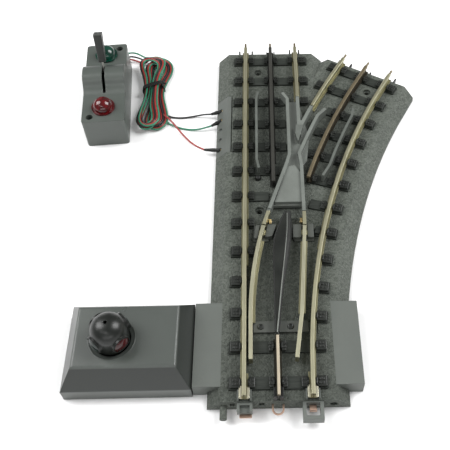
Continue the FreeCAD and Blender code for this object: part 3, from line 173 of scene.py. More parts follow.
def moulded(name, light, dark, rough=(0.4, 0.55), grain=900.0, strength=0.25, relief=0.05,
            metallic=0.0, stretch=(1, 1, 1), blotch=60.0, edge=0.25, shine=0.5, painted_shade_band=None):
    """Moulded plastic or cast metal: two close tones, uneven sheen and a fine grain, and optionally a band of
    height darkened as painted shade.
    """
    material, tree, shader = start(name)
    vector = place(tree, stretch)
    tone = noise(tree, vector, blotch, 5.0)
    fine = noise(tree, vector, grain, 3.0)
    mixed = calc(tree, "ADD", tone, calc(tree, "MULTIPLY", fine, 0.35))
    colour = blend(tree, spread(tree, mixed, 0.42, 0.92), dark, light)
    # painted shade: surfaces within a band of height are darkened, standing in for the shade on sloped sides
    if painted_shade_band:
        axes = node(tree, "SeparateXYZ")
        link(tree, place(tree), axes.inputs[0])
        painted_shade_mask = inside(tree, axes.outputs[2], painted_shade_band[0] * MM, painted_shade_band[1] * MM, 0.2 * MM)
        colour = blend(tree, painted_shade_mask, colour, tuple(PAINTED_SHADE_SHARE * c for c in dark))
    link(tree, colour, shader.inputs["Base Color"])
    link(tree, spread(tree, tone, 0.3, 0.7, rough[0], rough[1]), shader.inputs["Roughness"])
    shader.inputs["Metallic"].default_value = metallic
    shader.inputs["Specular IOR Level"].default_value = shine
    finish_surface(tree, shader, fine, strength, relief, edge)
    return material


# areas of the roadbed, in millimetres: the two motor pads, the switch well, the toe end
PAD_INNER_X = 29.0
PAD_START_Y, PAD_END_Y = 7.9, 55.7
WELL_X = (-12.5, 17.0)
WELL_Y = (44.0, 94.0)
BETWEEN_RAILS = 16.0
TOE_SHADE_Y = (20.0, 75.0)
TOE_FACE_Y = 0.4


def ballast():
    """Roadbed: grit texture, smooth on the motor pads and darker in the switch between the rails, with
    painted shade over the bed between the rails and a darkening towards the toe end.
    """
    material, tree, shader = start("roadbed_grit")
    vector = place(tree)
    axes = node(tree, "SeparateXYZ")
    link(tree, vector, axes.inputs[0])
    x, y, z = axes.outputs
    side = calc(tree, "GREATER_THAN", calc(tree, "ABSOLUTE", x), PAD_INNER_X * MM)
    near = calc(tree, "LESS_THAN", y, PAD_END_Y * MM)
    past = calc(tree, "GREATER_THAN", y, PAD_START_Y * MM)
    pad = calc(tree, "MULTIPLY", calc(tree, "MULTIPLY", side, near), past)
    grit = calc(tree, "SUBTRACT", 1.0, pad)
    stones = cells(tree, vector, 1050.0)
    tint = node(tree, "SeparateColor")
    link(tree, stones.outputs["Color"], tint.inputs[0])
    sand = noise(tree, vector, 2000.0, 5.0, 0.75)
    patch = noise(tree, vector, 35.0, 3.0)
    high = calc(tree, "ADD", spread(tree, stones.outputs["Distance"], 0.0, 0.7, 1.0, 0.0), sand)
    tone = calc(tree, "ADD", calc(tree, "MULTIPLY", sand, 0.7), calc(tree, "MULTIPLY", tint.outputs[0], 0.3))
    tone = calc(tree, "ADD", tone, calc(tree, "MULTIPLY", patch, 0.12))
    stone = blend(tree, spread(tree, tone, 0.32, 0.84), (0.038, 0.045, 0.037), (0.14, 0.154, 0.133))
    smooth = blend(tree, spread(tree, patch, 0.3, 0.7), (0.088, 0.097, 0.088), (0.104, 0.114, 0.103))
    well = calc(tree, "MULTIPLY", inside(tree, x, WELL_X[0] * MM, WELL_X[1] * MM, 1.0 * MM),
                inside(tree, y, WELL_Y[0] * MM, WELL_Y[1] * MM, 0.5 * MM))
    # painted shade: the bed between the rails is darkened, standing in for the shade of the rails and ties
    rails = inside(tree, x, -BETWEEN_RAILS * MM, BETWEEN_RAILS * MM, 1.5 * MM)
    between = calc(tree, "MULTIPLY", rails, 0.16)
    behind_face = calc(tree, "GREATER_THAN", y, TOE_FACE_Y * MM)
    fading = spread(tree, y, TOE_SHADE_Y[0] * MM, TOE_SHADE_Y[1] * MM, 0.3, 0.0)
    toe = calc(tree, "MULTIPLY", fading, behind_face)
    # darker plate of the switch well, painted shade between the rails and darkening towards the toe end,
    # whichever is strongest
    plate_and_shade = calc(tree, "MAXIMUM", calc(tree, "MULTIPLY", well, 0.3), calc(tree, "MAXIMUM", between, toe))
    toned = blend(tree, plate_and_shade, stone, (0.018, 0.021, 0.017))
    link(tree, blend(tree, pad, toned, smooth), shader.inputs["Base Color"])
    link(tree, spread(tree, calc(tree, "ADD", patch, pad), 0.3, 1.7, 0.78, 0.42), shader.inputs["Roughness"])
    shader.inputs["Specular IOR Level"].default_value = 0.35
    height = calc(tree, "MULTIPLY", high, spread(tree, grit, 0.0, 1.0, 0.06, 1.0))
    finish_surface(tree, shader, height, 0.9, 0.4, 0.3)
    return material


def sleeper():
    """Ties: dark plastic with plank grain across the track."""
    material, tree, shader = start("tie_grain")
    vector = place(tree, (0.12, 1.0, 1.0))
    grain = noise(tree, vector, 900.0, 6.0, 0.65)
    broad = noise(tree, vector, 160.0, 3.0)
    tone = calc(tree, "ADD", grain, broad)
    link(tree, blend(tree, spread(tree, tone, 0.7, 1.3), (0.009, 0.012, 0.009), (0.034, 0.039, 0.033)),
         shader.inputs["Base Color"])
    link(tree, spread(tree, grain, 0.3, 0.7, 0.38, 0.6), shader.inputs["Roughness"])
    shader.inputs["Specular IOR Level"].default_value = 0.3
    finish_surface(tree, shader, tone, 0.6, 0.14, 0.2)
    return material


RAIL_CLEAR_Z = 30.0
WORN_MIDDLE_X = 0.15
CAST_FADE = 0.2


def rolled(name, head, foot, rough, metallic=0.9, low=15.2, worn_half=0.0, cast_from=0.0):
    """Rail: drawn metal with lengthwise streaks, brighter on the head than on web and foot.

    worn_half narrows the bright band about the centre line.
    Past cast_from the metal turns to grey casting.
    """
    material, tree, shader = start(name)
    vector = place(tree, (1.0, 0.03, 1.0))
    streak = noise(tree, vector, 1500.0, 4.0, 0.7)
    stain = noise(tree, place(tree), 55.0, 5.0, 0.65)
    axes = node(tree, "SeparateXYZ")
    link(tree, place(tree), axes.inputs[0])
    up = inside(tree, axes.outputs[2], low * MM, RAIL_CLEAR_Z * MM, 0.15 * MM)
    dull = tuple(0.72 * c for c in foot)
    worn = tuple(0.8 * c for c in head)
    mix = spread(tree, calc(tree, "ADD", stain, calc(tree, "MULTIPLY", streak, 0.6)), 0.55, 1.05)
    if worn_half:
        left, right = (WORN_MIDDLE_X - worn_half) * MM, (WORN_MIDDLE_X + worn_half) * MM
        band = inside(tree, axes.outputs[0], left, right, 0.15 * MM)
        up = calc(tree, "MULTIPLY", up, band)
    tone = blend(tree, up, blend(tree, mix, dull, foot), blend(tree, mix, worn, head))
    if cast_from:
        past = spread(tree, axes.outputs[1], (cast_from - CAST_FADE) * MM,
                      (cast_from + CAST_FADE) * MM)
        tone = blend(tree, past, tone, blend(tree, mix, (0.07, 0.078, 0.069), (0.105, 0.116, 0.104)))
        link(tree, spread(tree, past, 0.0, 1.0, metallic, 0.1), shader.inputs["Metallic"])
    link(tree, tone, shader.inputs["Base Color"])
    link(tree, spread(tree, streak, 0.25, 0.75, rough, rough + 0.16), shader.inputs["Roughness"])
    shader.inputs["Metallic"].default_value = metallic
    finish_surface(tree, shader, streak, 0.12, 0.05, 0.2)
    return material


def tinted(name, colour, deep, gloss=0.35):
    """Deep coloured lens with a mottled depth under a clear gloss."""
    material, tree, shader = start(name)
    vector = place(tree)
    cloud = noise(tree, vector, 220.0, 3.0)
    link(tree, blend(tree, spread(tree, cloud, 0.35, 0.7), deep, colour), shader.inputs["Base Color"])
    link(tree, spread(tree, noise(tree, vector, 1200.0), 0.3, 0.7, 0.12, 0.2), shader.inputs["Roughness"])
    shader.inputs["IOR"].default_value = 1.49
    shader.inputs["Coat Weight"].default_value = gloss
    shader.inputs["Coat Roughness"].default_value = 0.12
    finish_surface(tree, shader, cloud, 0.05, 0.05, 0)
    return material


def sleeve(name, light, dark):
    """Wire insulation: soft vinyl with a slight sheen."""
    return moulded(name, light, dark, (0.28, 0.4), 2600.0, 0.12, 0.02, blotch=260.0, edge=0)


def make_materials():
    made = {
        "roadbed": ballast(),
        "tie": sleeper(),
        "chair": moulded("chair_black", (0.018, 0.021, 0.017), (0.008, 0.01, 0.008), (0.3, 0.42), 1500.0, 0.2,
                         edge=0.15),
        "pad": moulded("smooth_grey", (0.104, 0.114, 0.103), (0.085, 0.095, 0.085), (0.42, 0.55), 1500.0,
                       0.15),
        "running": rolled("nickel_rail", (0.43, 0.415, 0.285), (0.3, 0.285, 0.175), 0.34),
        "point": rolled("nickel_point", (0.54, 0.525, 0.375), (0.34, 0.325, 0.21), 0.32, low=16.0),
        "centre": rolled("blackened_rail", (0.05, 0.05, 0.043), (0.015, 0.016, 0.013), 0.36, 0.5),
        "bronzed": rolled("bronzed_rail", (0.2, 0.165, 0.105), (0.045, 0.038, 0.026), 0.34, 0.75),
        "toe_rail": rolled("toe_rail", (0.58, 0.51, 0.39), (0.03, 0.028, 0.02), 0.34, 0.7, worn_half=0.7),
        "closure": rolled("closure_rail", (0.46, 0.445, 0.305), (0.3, 0.285, 0.175), 0.34, cast_from=111.8),
        "deck": moulded("frog_deck", (0.15, 0.164, 0.148), (0.108, 0.118, 0.106), (0.36, 0.48), 1300.0, 0.2,
                        0.05),
        "frog": moulded("cast_frog", (0.118, 0.13, 0.117), (0.078, 0.086, 0.076), (0.34, 0.5), 1300.0, 0.3,
                        0.06, metallic=0.15, blotch=90.0),
        "nickel": moulded("nickel_pad", (0.66, 0.64, 0.5), (0.5, 0.48, 0.37), (0.3, 0.42), 1500.0, 0.2,
                          metallic=0.7),
        "wedge": moulded("black_wedge", (0.017, 0.019, 0.016), (0.008, 0.009, 0.008), (0.3, 0.42), 1200.0,
                         0.1, shine=0.3),
        # painted highlight: a pale grey for the wedge's ridge, standing in for the highlight along it
        "bright": rolled("painted_highlight_ridge", (0.17, 0.18, 0.165), (0.1, 0.105, 0.1), 0.38, 0.5),
        "steel": moulded("pin_steel", (0.5, 0.5, 0.47), (0.3, 0.3, 0.27), (0.25, 0.4), 1600.0, 0.15,
                         metallic=1.0),
        "brass": moulded("spring_brass", (0.78, 0.62, 0.34), (0.5, 0.38, 0.19), (0.25, 0.4), 1600.0, 0.15,
                         metallic=1.0),
        "copper": moulded("spring_copper", (0.66, 0.47, 0.37), (0.42, 0.28, 0.21), (0.3, 0.45), 1600.0, 0.15,
                          metallic=1.0),
        "bar": moulded("bar_grey", (0.085, 0.092, 0.081), (0.06, 0.066, 0.058), (0.4, 0.52), 1400.0, 0.2),
        # painted shade: the motor box's sloped sides, 9.2 to 20.9 mm up, are darkened below the top and the
        # upright band
        "box": moulded("box_shell", (0.066, 0.074, 0.067), (0.056, 0.064, 0.058), (0.27, 0.34), 1900.0, 0.08,
                       0.03, blotch=28.0, edge=0.8, painted_shade_band=(9.2, 20.9)),
        "case": moulded("controller_shell", (0.072, 0.082, 0.074), (0.06, 0.07, 0.062), (0.3, 0.38), 1900.0,
                        0.1, 0.03, blotch=40.0, edge=0.5),
        "black": moulded("black_plastic", (0.011, 0.012, 0.011), (0.004, 0.005, 0.004), (0.36, 0.5), 1500.0,
                         0.15, shine=0.3),
        "lantern": moulded("lantern_gloss", (0.01, 0.012, 0.01), (0.005, 0.006, 0.005), (0.3, 0.38), 700.0,
                           0.06, 0.04, edge=0.35, shine=0.4),
        "knob": moulded("knob_grey", (0.015, 0.018, 0.015), (0.009, 0.011, 0.009), (0.36, 0.5), 1500.0, 0.15,
                        edge=0.35),
        "coil": moulded("enamelled_wire", (0.5, 0.2, 0.08), (0.28, 0.1, 0.04), (0.2, 0.35), 900.0, 0.5, 0.15,
                        stretch=(6, 0.1, 0.1), metallic=0.8),
        "board": moulded("board", (0.06, 0.2, 0.09), (0.03, 0.12, 0.05), (0.3, 0.45), 800.0, 0.1),
        "glass": moulded("bulb_glass", (0.8, 0.78, 0.7), (0.65, 0.62, 0.55), (0.05, 0.1), 500.0, 0.02),
        "red_lens": tinted("red_lens", (0.12, 0.002, 0.004), (0.02, 0.001, 0.001), 0.12),
        "green_lens": tinted("green_lens", (0.003, 0.055, 0.033), (0.001, 0.016, 0.01), 0.12),
        "dim_red": tinted("lantern_red", (0.05, 0.003, 0.004), (0.02, 0.001, 0.001), 0.0),
        "dim_green": tinted("lantern_green", (0.002, 0.014, 0.01), (0.001, 0.005, 0.003), 0.0),
        "green_wire": sleeve("green_vinyl", (0.03, 0.2, 0.115), (0.018, 0.13, 0.075)),
        "red_wire": sleeve("red_vinyl", (0.33, 0.035, 0.03), (0.21, 0.02, 0.017)),
        "black_wire": sleeve("black_vinyl", (0.016, 0.016, 0.015), (0.008, 0.008, 0.008)),
        # painted shade: brass darkened far below its own tone, standing in for the dark inside the terminal
        # holes
        "hole": moulded("shaded_socket_brass", (0.11, 0.08, 0.04), (0.05, 0.036, 0.02), (0.4, 0.55), 900.0, 0.1,
                        metallic=0.6),
    }
    return made


CAD_FINISH = {
    "roadbed": "roadbed", "bottom_cover": "pad", "base_screws": "steel", "ties_straight": "tie",
    "ties_curved": "tie", "stock_rail_straight": "running", "stock_rail_curved": "running",
    "exit_rails": "running", "centre_rail_toe": "toe_rail", "centre_rail_straight": "centre",
    "centre_rail_curved": "bronzed", "rail_pins": "bronzed", "frog_casting": "deck",
    "guard_rail_left": "frog", "guard_rail_right": "frog", "centre_wedge": "wedge",
    # the wedge's ridge takes the pale finish that paints its highlight
    "wedge_ridge": "bright", "closure_rails": "closure", "heel_brackets": "bar", "heel_pins": "brass",
    "point_rail_curved": "point", "point_rail_straight": "point",
    "throw_bar": "bar", "drive_link": "steel", "toe_clips": "pad", "contact_strips": "copper",
    "end_clips": "black", "terminal_block": "pad", "terminal_sockets": "hole", "motor_cover": "box",
    "motor_base": "black", "mounting_strap": "steel", "coil_bobbins": "black", "coil_windings": "coil",
    "coil_frame": "steel", "plunger": "steel", "circuit_board": "board", "lantern_lamp": "glass",
    "lantern_shaft": "black", "lantern_body": "lantern", "lantern_lenses_red": "dim_red",
    "lantern_lenses_green": "dim_green", "controller_case": "case", "controller_base": "black",
    "controller_lens_red": "red_lens", "controller_lens_green": "green_lens", "controller_bulbs": "glass",
    "controller_board": "board", "lever_pin": "steel", "lever_rod": "steel", "lever_knob": "knob",
    "wire_grommet": "black",
}


def paint(obj, material):
    obj.data.materials.clear()
    obj.data.materials.append(material)


# ---------------------------------------------------------------- wires

WIRE = 1.2 * MM
LEADS = {
    "green": [(-104.2, 253.94, 5.8), (-104.4, 257.2, 6.0), (-102.6, 260.3, 6.3), (-99.0, 262.0, 6.4),
              (-95.2, 261.8, 6.0), (-91.8, 260.2, 5.4), (-88.8, 258.2, 4.9)],
    "black": [(-104.4, 253.93, 4.3), (-104.5, 256.9, 4.4), (-102.7, 259.5, 4.3), (-99.3, 260.8, 3.9),
              (-95.5, 260.3, 3.6), (-92.0, 258.8, 3.4), (-88.9, 256.8, 3.2)],
    "red": [(-105.68, 253.84, 4.9), (-105.9, 256.9, 4.1), (-103.9, 259.2, 3.1), (-100.6, 260.0, 2.3),
            (-96.8, 259.2, 1.9), (-92.8, 257.3, 1.7), (-89.2, 254.9, 1.6)],
}
TAILS = {
    "black": [(-74.6, 208.4, 1.6), (-72.2, 206.2, 1.2), (-69.2, 204.2, 0.9), (-65.2, 203.0, 0.7),
              (-60.4, 202.5, 0.7), (-54.8, 203.1, 0.8), (-49.0, 203.8, 1.5), (-44.2, 203.7, 2.7),
              (-40.3, 202.6, 3.8)],
    "green": [(-74.8, 203.6, 1.2), (-72.2, 201.0, 0.9), (-69.0, 198.2, 0.7), (-64.8, 195.3, 0.7),
              (-59.6, 192.9, 0.7), (-53.6, 191.5, 0.8), (-48.2, 191.2, 1.5), (-43.8, 191.6, 2.6),
              (-39.8, 192.2, 3.6)],
    "red": [(-74.4, 205.8, 2.2), (-71.8, 204.0, 2.4), (-68.8, 200.9, 2.6), (-65.4, 196.6, 2.4),
            (-61.6, 191.4, 1.4), (-57.2, 185.4, 0.8), (-52.4, 179.6, 0.9), (-47.6, 174.9, 1.9),
            (-43.6, 171.6, 3.4)],
}
# outline of the hank, clockwise from its far left corner
HANK = [
    (-84.6, 260.6), (-80.0, 260.9), (-75.8, 258.4), (-72.9, 254.0), (-71.3, 247.0), (-72.6, 238.0),
    (-74.8, 229.0), (-74.8, 221.0), (-73.0, 210.0), (-72.0, 200.0), (-73.1, 193.2), (-76.2, 188.6),
    (-80.8, 187.1), (-84.9, 189.5), (-87.3, 195.4), (-87.2, 207.0), (-86.2, 220.0), (-87.6, 236.0),
    (-89.4, 249.0), (-88.2, 256.2),
]
HANK_MIDDLE = -80.4
HANK_WAIST = 226.0
HANK_TOP = 260.6
HANK_LOW = 187.2
# how much of a turn's narrowing each outline point takes: all on the limbs, none round the two ends
NARROW_SHARE = [0, 0, 0, 0, 0.3, 0.8, 1, 1, 0.8, 0.3, 0, 0, 0, 0, 0.2, 0.7, 1, 0.8, 0.3, 0]
NARROW_HALF = 3.7
# each turn of the folded cable: its lean to one side, how far its two ends reach, how narrow its limbs run
TURNS = [
    (-1.0, 260.0, 190.0, 0.9), (-3.5, 257.0, 191.0, 0.9), (-3.5, 258.0, 189.0, 1.0),
    (1.0, 256.0, 193.0, 0.9), (3.5, 260.0, 191.0, 0.4), (3.5, 255.0, 192.0, 0.9),
    (-1.0, 258.0, 191.0, 0.4),
]
FIRST_POINT = 3
LAST_POINT = 107
TOP_TURN_Z = 6.7
TURN_DROP = 1.163
TWIST_RISE = 0.5
LOWEST_Z = 0.62
INSET = 1.35
WAIST_REACH = 12.0
ACROSS = {"green": 1.2, "red": 0.0, "black": -1.2}


def turn_point(index, across):
    """Place of one wire on the hank: index counts the outline's points through all the turns."""
    count = len(HANK)
    half = count / 2
    turn, j = divmod(index, count)
    # one turn passes into the next over the second half of its outline
    share = max(0.0, (j - half) / half)
    share = share * share * (3 - 2 * share)
    here, there = TURNS[turn], TURNS[turn + 1]
    lean, top, low, narrow = (a + (b - a) * share for a, b in zip(here, there))
    twist = math.pi * (turn + share)

    def shaped(k):
        x, y = HANK[k % count]
        slip = lean * (1.0 - 0.5 * math.exp(-((y - HANK_WAIST) / WAIST_REACH) ** 2))
        if y > HANK_WAIST:
            stretch = (top - HANK_WAIST) / (HANK_TOP - HANK_WAIST)
        else:
            stretch = (HANK_WAIST - low) / (HANK_WAIST - HANK_LOW)
        wide = x - HANK_MIDDLE
        taken = narrow * NARROW_SHARE[k % count] * max(0.0, abs(wide) - NARROW_HALF)
        wide -= math.copysign(taken, wide)
        return Vector((HANK_MIDDLE + wide + slip, HANK_WAIST + stretch * (y - HANK_WAIST)))

    along = (shaped(j + 1) - shaped(j - 1)).normalized()
    inward = Vector((along.y, -along.x))
    at = shaped(j) + inward * (INSET - across * math.cos(twist))
    rise = TOP_TURN_Z - TURN_DROP * (index - FIRST_POINT) / count + TWIST_RISE * across * math.sin(twist)
    return at.x, at.y, max(LOWEST_Z, rise)


def wire_points(name):
    across = ACROSS[name]
    entry = [(-84.8, 256.4 + 0.6 * across, 5.4), (-79.6, 256.4 + 0.9 * across, 6.2)]
    turns = [turn_point(i, across) for i in range(FIRST_POINT, LAST_POINT + 1)]
    return LEADS[name] + entry + turns + TAILS[name]


def tube(name, points, radius, closed=False):
    """Smooth round cord through control points given in millimetres."""
    data = bpy.data.curves.new(name, "CURVE")
    data.dimensions = "3D"
    spline = data.splines.new("NURBS")
    spline.points.add(len(points) - 1)
    for point, at in zip(spline.points, points):
        point.co = (*(c * MM for c in at), 1.0)
    spline.order_u = 3
    spline.use_cyclic_u = closed
    spline.use_endpoint_u = not closed
    spline.resolution_u = 8
    data.bevel_depth = radius
    data.bevel_resolution = 5
    data.use_fill_caps = True
    obj = bpy.data.objects.new(name, data)
    bpy.context.scene.collection.objects.link(obj)
    return obj


# ---------------------------------------------------------------- mesh helpers

def piece(name, mesh, material, body, slot, *replaced):
    """A finished mesh as a piece on a body."""
    data = bpy.data.meshes.new(name)
    bmesh.ops.recalc_face_normals(mesh, faces=mesh.faces)
    mesh.to_mesh(data)
    mesh.free()
    obj = bpy.data.objects.new(name, data)
    bpy.context.scene.collection.objects.link(obj)
    paint(obj, material)
    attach(obj, body)
    if replaced:
        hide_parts(*replaced)
    return obj


def block(mesh, low, high, ease=0.0, turn=None):
    """Box with eased edges, in millimetres."""
    made = bmesh.ops.create_cube(mesh, size=1.0)["verts"]
    size = Vector(high) - Vector(low)
    middle = (Vector(high) + Vector(low)) / 2
    for vert in made:
        vert.co = Vector((vert.co.x * size.x, vert.co.y * size.y, vert.co.z * size.z)) + middle
    if ease:
        edges = list({e for v in made for e in v.link_edges})
        eased = bmesh.ops.bevel(mesh, geom=edges, offset=ease, segments=2, profile=0.6, affect="EDGES")
        made = list({v for f in {f for v in eased["verts"] for f in v.link_faces} for v in f.verts})
    for vert in made:
        at = turn @ vert.co if turn else vert.co
        vert.co = at * MM
    return made


def lathe(mesh, profile, place_at, steps=32):
    """Solid of revolution from (radius, height) pairs in millimetres.

    place_at maps its own frame to the object's.
    """
    rings = []
    for radius, height in profile:
        if radius < 1e-6:
            rings.append([mesh.verts.new(place_at @ Vector((0, 0, height)) * MM)])
            continue
        ring = []
        for i in range(steps):
            a = 2 * math.pi * i / steps
            at = place_at @ Vector((radius * math.cos(a), radius * math.sin(a), height))
            ring.append(mesh.verts.new(at * MM))
        rings.append(ring)
    for lower, upper in zip(rings, rings[1:]):
        for i in range(steps):
            j = (i + 1) % steps
            corners = [lower[i % len(lower)], lower[j % len(lower)]]
            corners += [upper[j % len(upper)], upper[i % len(upper)]]
            unique = list(dict.fromkeys(corners))
            if len(unique) > 2:
                mesh.faces.new(unique)
    for ring in (rings[0], rings[-1]):
        if len(ring) > 2:
            mesh.faces.new(ring)


def smooth(obj, angle=35.0):
    for face in obj.data.polygons:
        face.use_smooth = True
    obj.data.set_sharp_from_angle(angle=math.radians(angle))


# ---------------------------------------------------------------- track details

RADIUS = 436.3
CURVE_START = 3.6
TIE_FIRST = 9.0
TIE_PITCH = (254.0 - 18.0) / 12
TIE_ANGLE_FIRST = 0.8
TIE_ANGLE_PITCH = 2.5
CHAIR_LOW = 11.0
CHAIR_TOP = 12.7
PLATE_HALF = 2.8
SPIKE_HALF = 0.55
SPIKE_RISE = 0.7
BOTH = (-1, 1)
LEFT, CENTRE, RIGHT = -17.0, 0.0, 17.0
STRAIGHT_CHAIRS = {
    0: [(LEFT, BOTH), (CENTRE, BOTH), (RIGHT, BOTH)],
    1: [(LEFT, (-1,)), (CENTRE, BOTH), (RIGHT + 1.0, (1,))],
    2: [(LEFT, (-1,))], 3: [(LEFT, (-1,))],
    4: [(LEFT, BOTH)], 5: [(LEFT, BOTH)], 6: [(LEFT, BOTH)],
    7: [(LEFT, BOTH), (CENTRE, (-1,))],
    8: [(LEFT, BOTH), (CENTRE, BOTH)], 9: [(LEFT, BOTH), (CENTRE, BOTH)],
    10: [(LEFT, BOTH), (CENTRE, BOTH), (RIGHT, (1,))],
    11: [(LEFT, BOTH), (CENTRE, BOTH), (RIGHT, BOTH)],
    12: [(LEFT, BOTH), (CENTRE, BOTH), (RIGHT, BOTH)],
}
CURVED_CHAIRS = {
    2: [(RIGHT, (1,))], 3: [(RIGHT, (1,))], 4: [(RIGHT, (1,))],
    5: [(RIGHT, (1,))], 6: [(RIGHT, BOTH)],
    7: [(RIGHT, BOTH), (CENTRE, (1,))],
    8: [(RIGHT, BOTH), (CENTRE, BOTH)], 9: [(RIGHT, BOTH), (CENTRE, BOTH)],
    10: [(RIGHT, BOTH), (CENTRE, BOTH)],
    11: [(RIGHT, BOTH), (CENTRE, BOTH), (LEFT, BOTH)],
    12: [(RIGHT, BOTH), (CENTRE, BOTH), (LEFT, BOTH)],
}


def on_curve(angle):
    """Moves a shape made at the start of the curve to an angle along it."""
    centre = Vector((RADIUS, CURVE_START, 0))
    swing = Matrix.Rotation(math.radians(-angle), 4, "Z")
    return Matrix.Translation(centre) @ swing @ Matrix.Translation(-centre)


def chair_detail(mesh, rail, side, y, turn):
    """Plate of one chair with its square spike heads, and the clip lip over the rail's foot."""
    if abs(rail) < 1:
        reach, rise = 4.4, 0.1
    else:
        reach, rise = (7.2 if side * rail > 0 else 5.3), 0.15
    a, b = sorted((rail + side * 2.15, rail + side * reach))
    block(mesh, (a, y - PLATE_HALF, CHAIR_LOW), (b, y + PLATE_HALF, CHAIR_TOP + rise), 0.25, turn)
    middle = rail + side * (1.9 + reach) / 2
    for dx in (-0.85, 0.85):
        for dy in (-1.0, 1.0):
            x, at = middle + dx, y + dy
            block(mesh, (x - SPIKE_HALF, at - SPIKE_HALF, CHAIR_TOP),
                  (x + SPIKE_HALF, at + SPIKE_HALF, CHAIR_TOP + SPIKE_RISE), 0.18, turn)
    inner = sorted((rail + side * 1.55, rail + side * 2.5))
    block(mesh, (inner[0], y - 1.6, CHAIR_TOP - 1.2), (inner[1], y + 1.6, CHAIR_TOP + 0.5), 0.2, turn)


def chairs(materials):
    mesh = bmesh.new()
    for i, places in STRAIGHT_CHAIRS.items():
        for rail, sides in places:
            for side in sides:
                chair_detail(mesh, rail, side, TIE_FIRST + i * TIE_PITCH, None)
    for i, places in CURVED_CHAIRS.items():
        for rail, sides in places:
            for side in sides:
                chair_detail(mesh, rail, side, CURVE_START, on_curve(TIE_ANGLE_FIRST + i * TIE_ANGLE_PITCH))
    piece("chair_spikes", mesh, materials["chair"], "track", "tie_plastic")


RIVET_X = (-8.5, 7.2)
RIVET_Y = 40.4
RIVET_Z = 10.8
RIVET_PROFILE = [(0, 0.12), (0.7, 0.16), (0.95, 0.1), (1.05, 0.42), (1.35, 0.52), (1.65, 0.38), (1.8, 0.0),
                 (0.95, -0.02), (0.95, -1.2), (0, -1.2)]
GUARD_BOLTS = ((-9.3, 141.4), (36.6, 136.4))
SOLDER_TABS = ((-2.3, 107.4), (15.5, 108.0))


def rivets(materials):
    """Hollow rivets with a rolled rim, on the throw bar."""
    mesh = bmesh.new()
    for x in RIVET_X:
        at = Matrix.Translation(Vector((x, RIVET_Y, RIVET_Z)))
        lathe(mesh, RIVET_PROFILE, at, 28)
    smooth(piece("bar_rivets", mesh, materials["chair"], "throw_bar", "steel", "throw_bar_rivets"))


def bolts_and_tabs(materials):
    """Bolt heads at the guard rails' feet and the solder tabs at the heels."""
    mesh = bmesh.new()
    for x, y in GUARD_BOLTS:
        at = Matrix.Translation(Vector((x, y, 10.0)))
        lathe(mesh, [(0, 0), (1.9, 0), (1.9, 1.5), (1.5, 2.1), (0.7, 2.4), (0, 2.45)], at, 20)
    smooth(piece("guard_bolts", mesh, materials["black"], "track", "black_plastic"))
    mesh = bmesh.new()
    for x, y in SOLDER_TABS:
        block(mesh, (x - 0.7, y - 1.6, 11.0), (x + 0.7, y + 1.6, 12.6), 0.2)
    piece("solder_tabs", mesh, materials["brass"], "track", "brass")


def slab(mesh, outline, low, high, ease=0.2):
    """Flat plate with eased edges over an outline in millimetres."""
    face = mesh.faces.new([mesh.verts.new(Vector((x, y, low)) * MM) for x, y in outline])
    made = bmesh.ops.extrude_face_region(mesh, geom=[face])["geom"]
    for vert in (v for v in made if isinstance(v, bmesh.types.BMVert)):
        vert.co.z = high * MM
    edges = {e for v in face.verts for e in v.link_edges}
    for top in (g for g in made if isinstance(g, bmesh.types.BMFace)):
        edges.update(top.edges)
    bmesh.ops.bevel(mesh, geom=list(edges), offset=ease * MM, segments=2, profile=0.6, affect="EDGES")


def heel_plates(materials):
    """Broad moulded plates either side of each point's heel."""
    outlines = [
        [(-11.8, 96.0), (-9.6, 96.0), (-8.3, 104.4), (-10.6, 104.4)],
        [(-5.6, 96.4), (-1.7, 96.4), (-0.6, 98.8), (1.2, 104.8), (-3.9, 104.9)],
        [(10.3, 95.6), (15.2, 95.6), (15.4, 104.6), (10.3, 104.6)],
        [(18.7, 95.6), (22.3, 95.6), (22.3, 104.6), (18.9, 104.6)],
    ]
    mesh = bmesh.new()
    for outline in outlines:
        slab(mesh, outline, 10.3, 13.3, 0.3)
    piece("heel_plates", mesh, materials["bar"], "track", "roadbed_plastic")


def frog_nose(materials):
    """Tapered cap over the nose, where the two running rails meet."""
    outline = [(16.0, 165.9), (15.0, 169.0), (14.5, 172.6), (15.0, 179.5), (19.9, 179.4), (18.0, 172.6),
               (17.0, 169.0)]
    mesh = bmesh.new()
    slab(mesh, outline, 12.6, 17.05, 0.25)
    piece("frog_nose", mesh, materials["frog"], "track", "frog_metal")


RIDGE_LINE = [
    (0.0, 34.2, 16.5), (0.5, 39.0, 16.5), (1.4, 47.0, 16.5), (2.7, 60.0, 16.5), (4.0, 71.0, 16.5),
    (5.3, 82.0, 16.5), (6.4, 92.0, 16.5), (7.25, 102.0, 16.5), (7.4, 110.3, 16.4),
]
WEDGE_SIDES = [
    [(-0.95, 34.6, 16.1), (-0.95, 60.0, 16.1), (-0.95, 88.0, 16.1), (-0.2, 94.2, 16.1),
     (3.0, 104.2, 16.1), (6.2, 112.1, 16.1)],
    [(1.0, 34.6, 16.0), (2.3, 50.0, 15.7), (4.3, 65.0, 15.6), (6.6, 78.0, 15.4), (8.9, 92.0, 15.2),
     (9.6, 101.0, 15.3), (9.3, 112.0, 15.4)],
]


def ridge(materials):
    """Rounded strip along the wedge's ridge in a pale finish that paints the ridge's highlight, thickest at
    its near tip, and the wedge's two raised edges.
    """
    strip = tube("ridge_highlight_strip", RIDGE_LINE, 0.28 * MM)
    for i, point in enumerate(strip.data.splines[0].points):
        point.radius = 1.5 - 0.08 * i
    paint(strip, materials["bright"])
    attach(strip, "track")
    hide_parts("wedge_ridge")
    for i, side in enumerate(WEDGE_SIDES):
        rim = tube(f"wedge_rim_{i}", side, 0.38 * MM)
        paint(rim, materials["black"])
        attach(rim, "track")


LANTERN_AT = (-83.2, 29.8, 0)


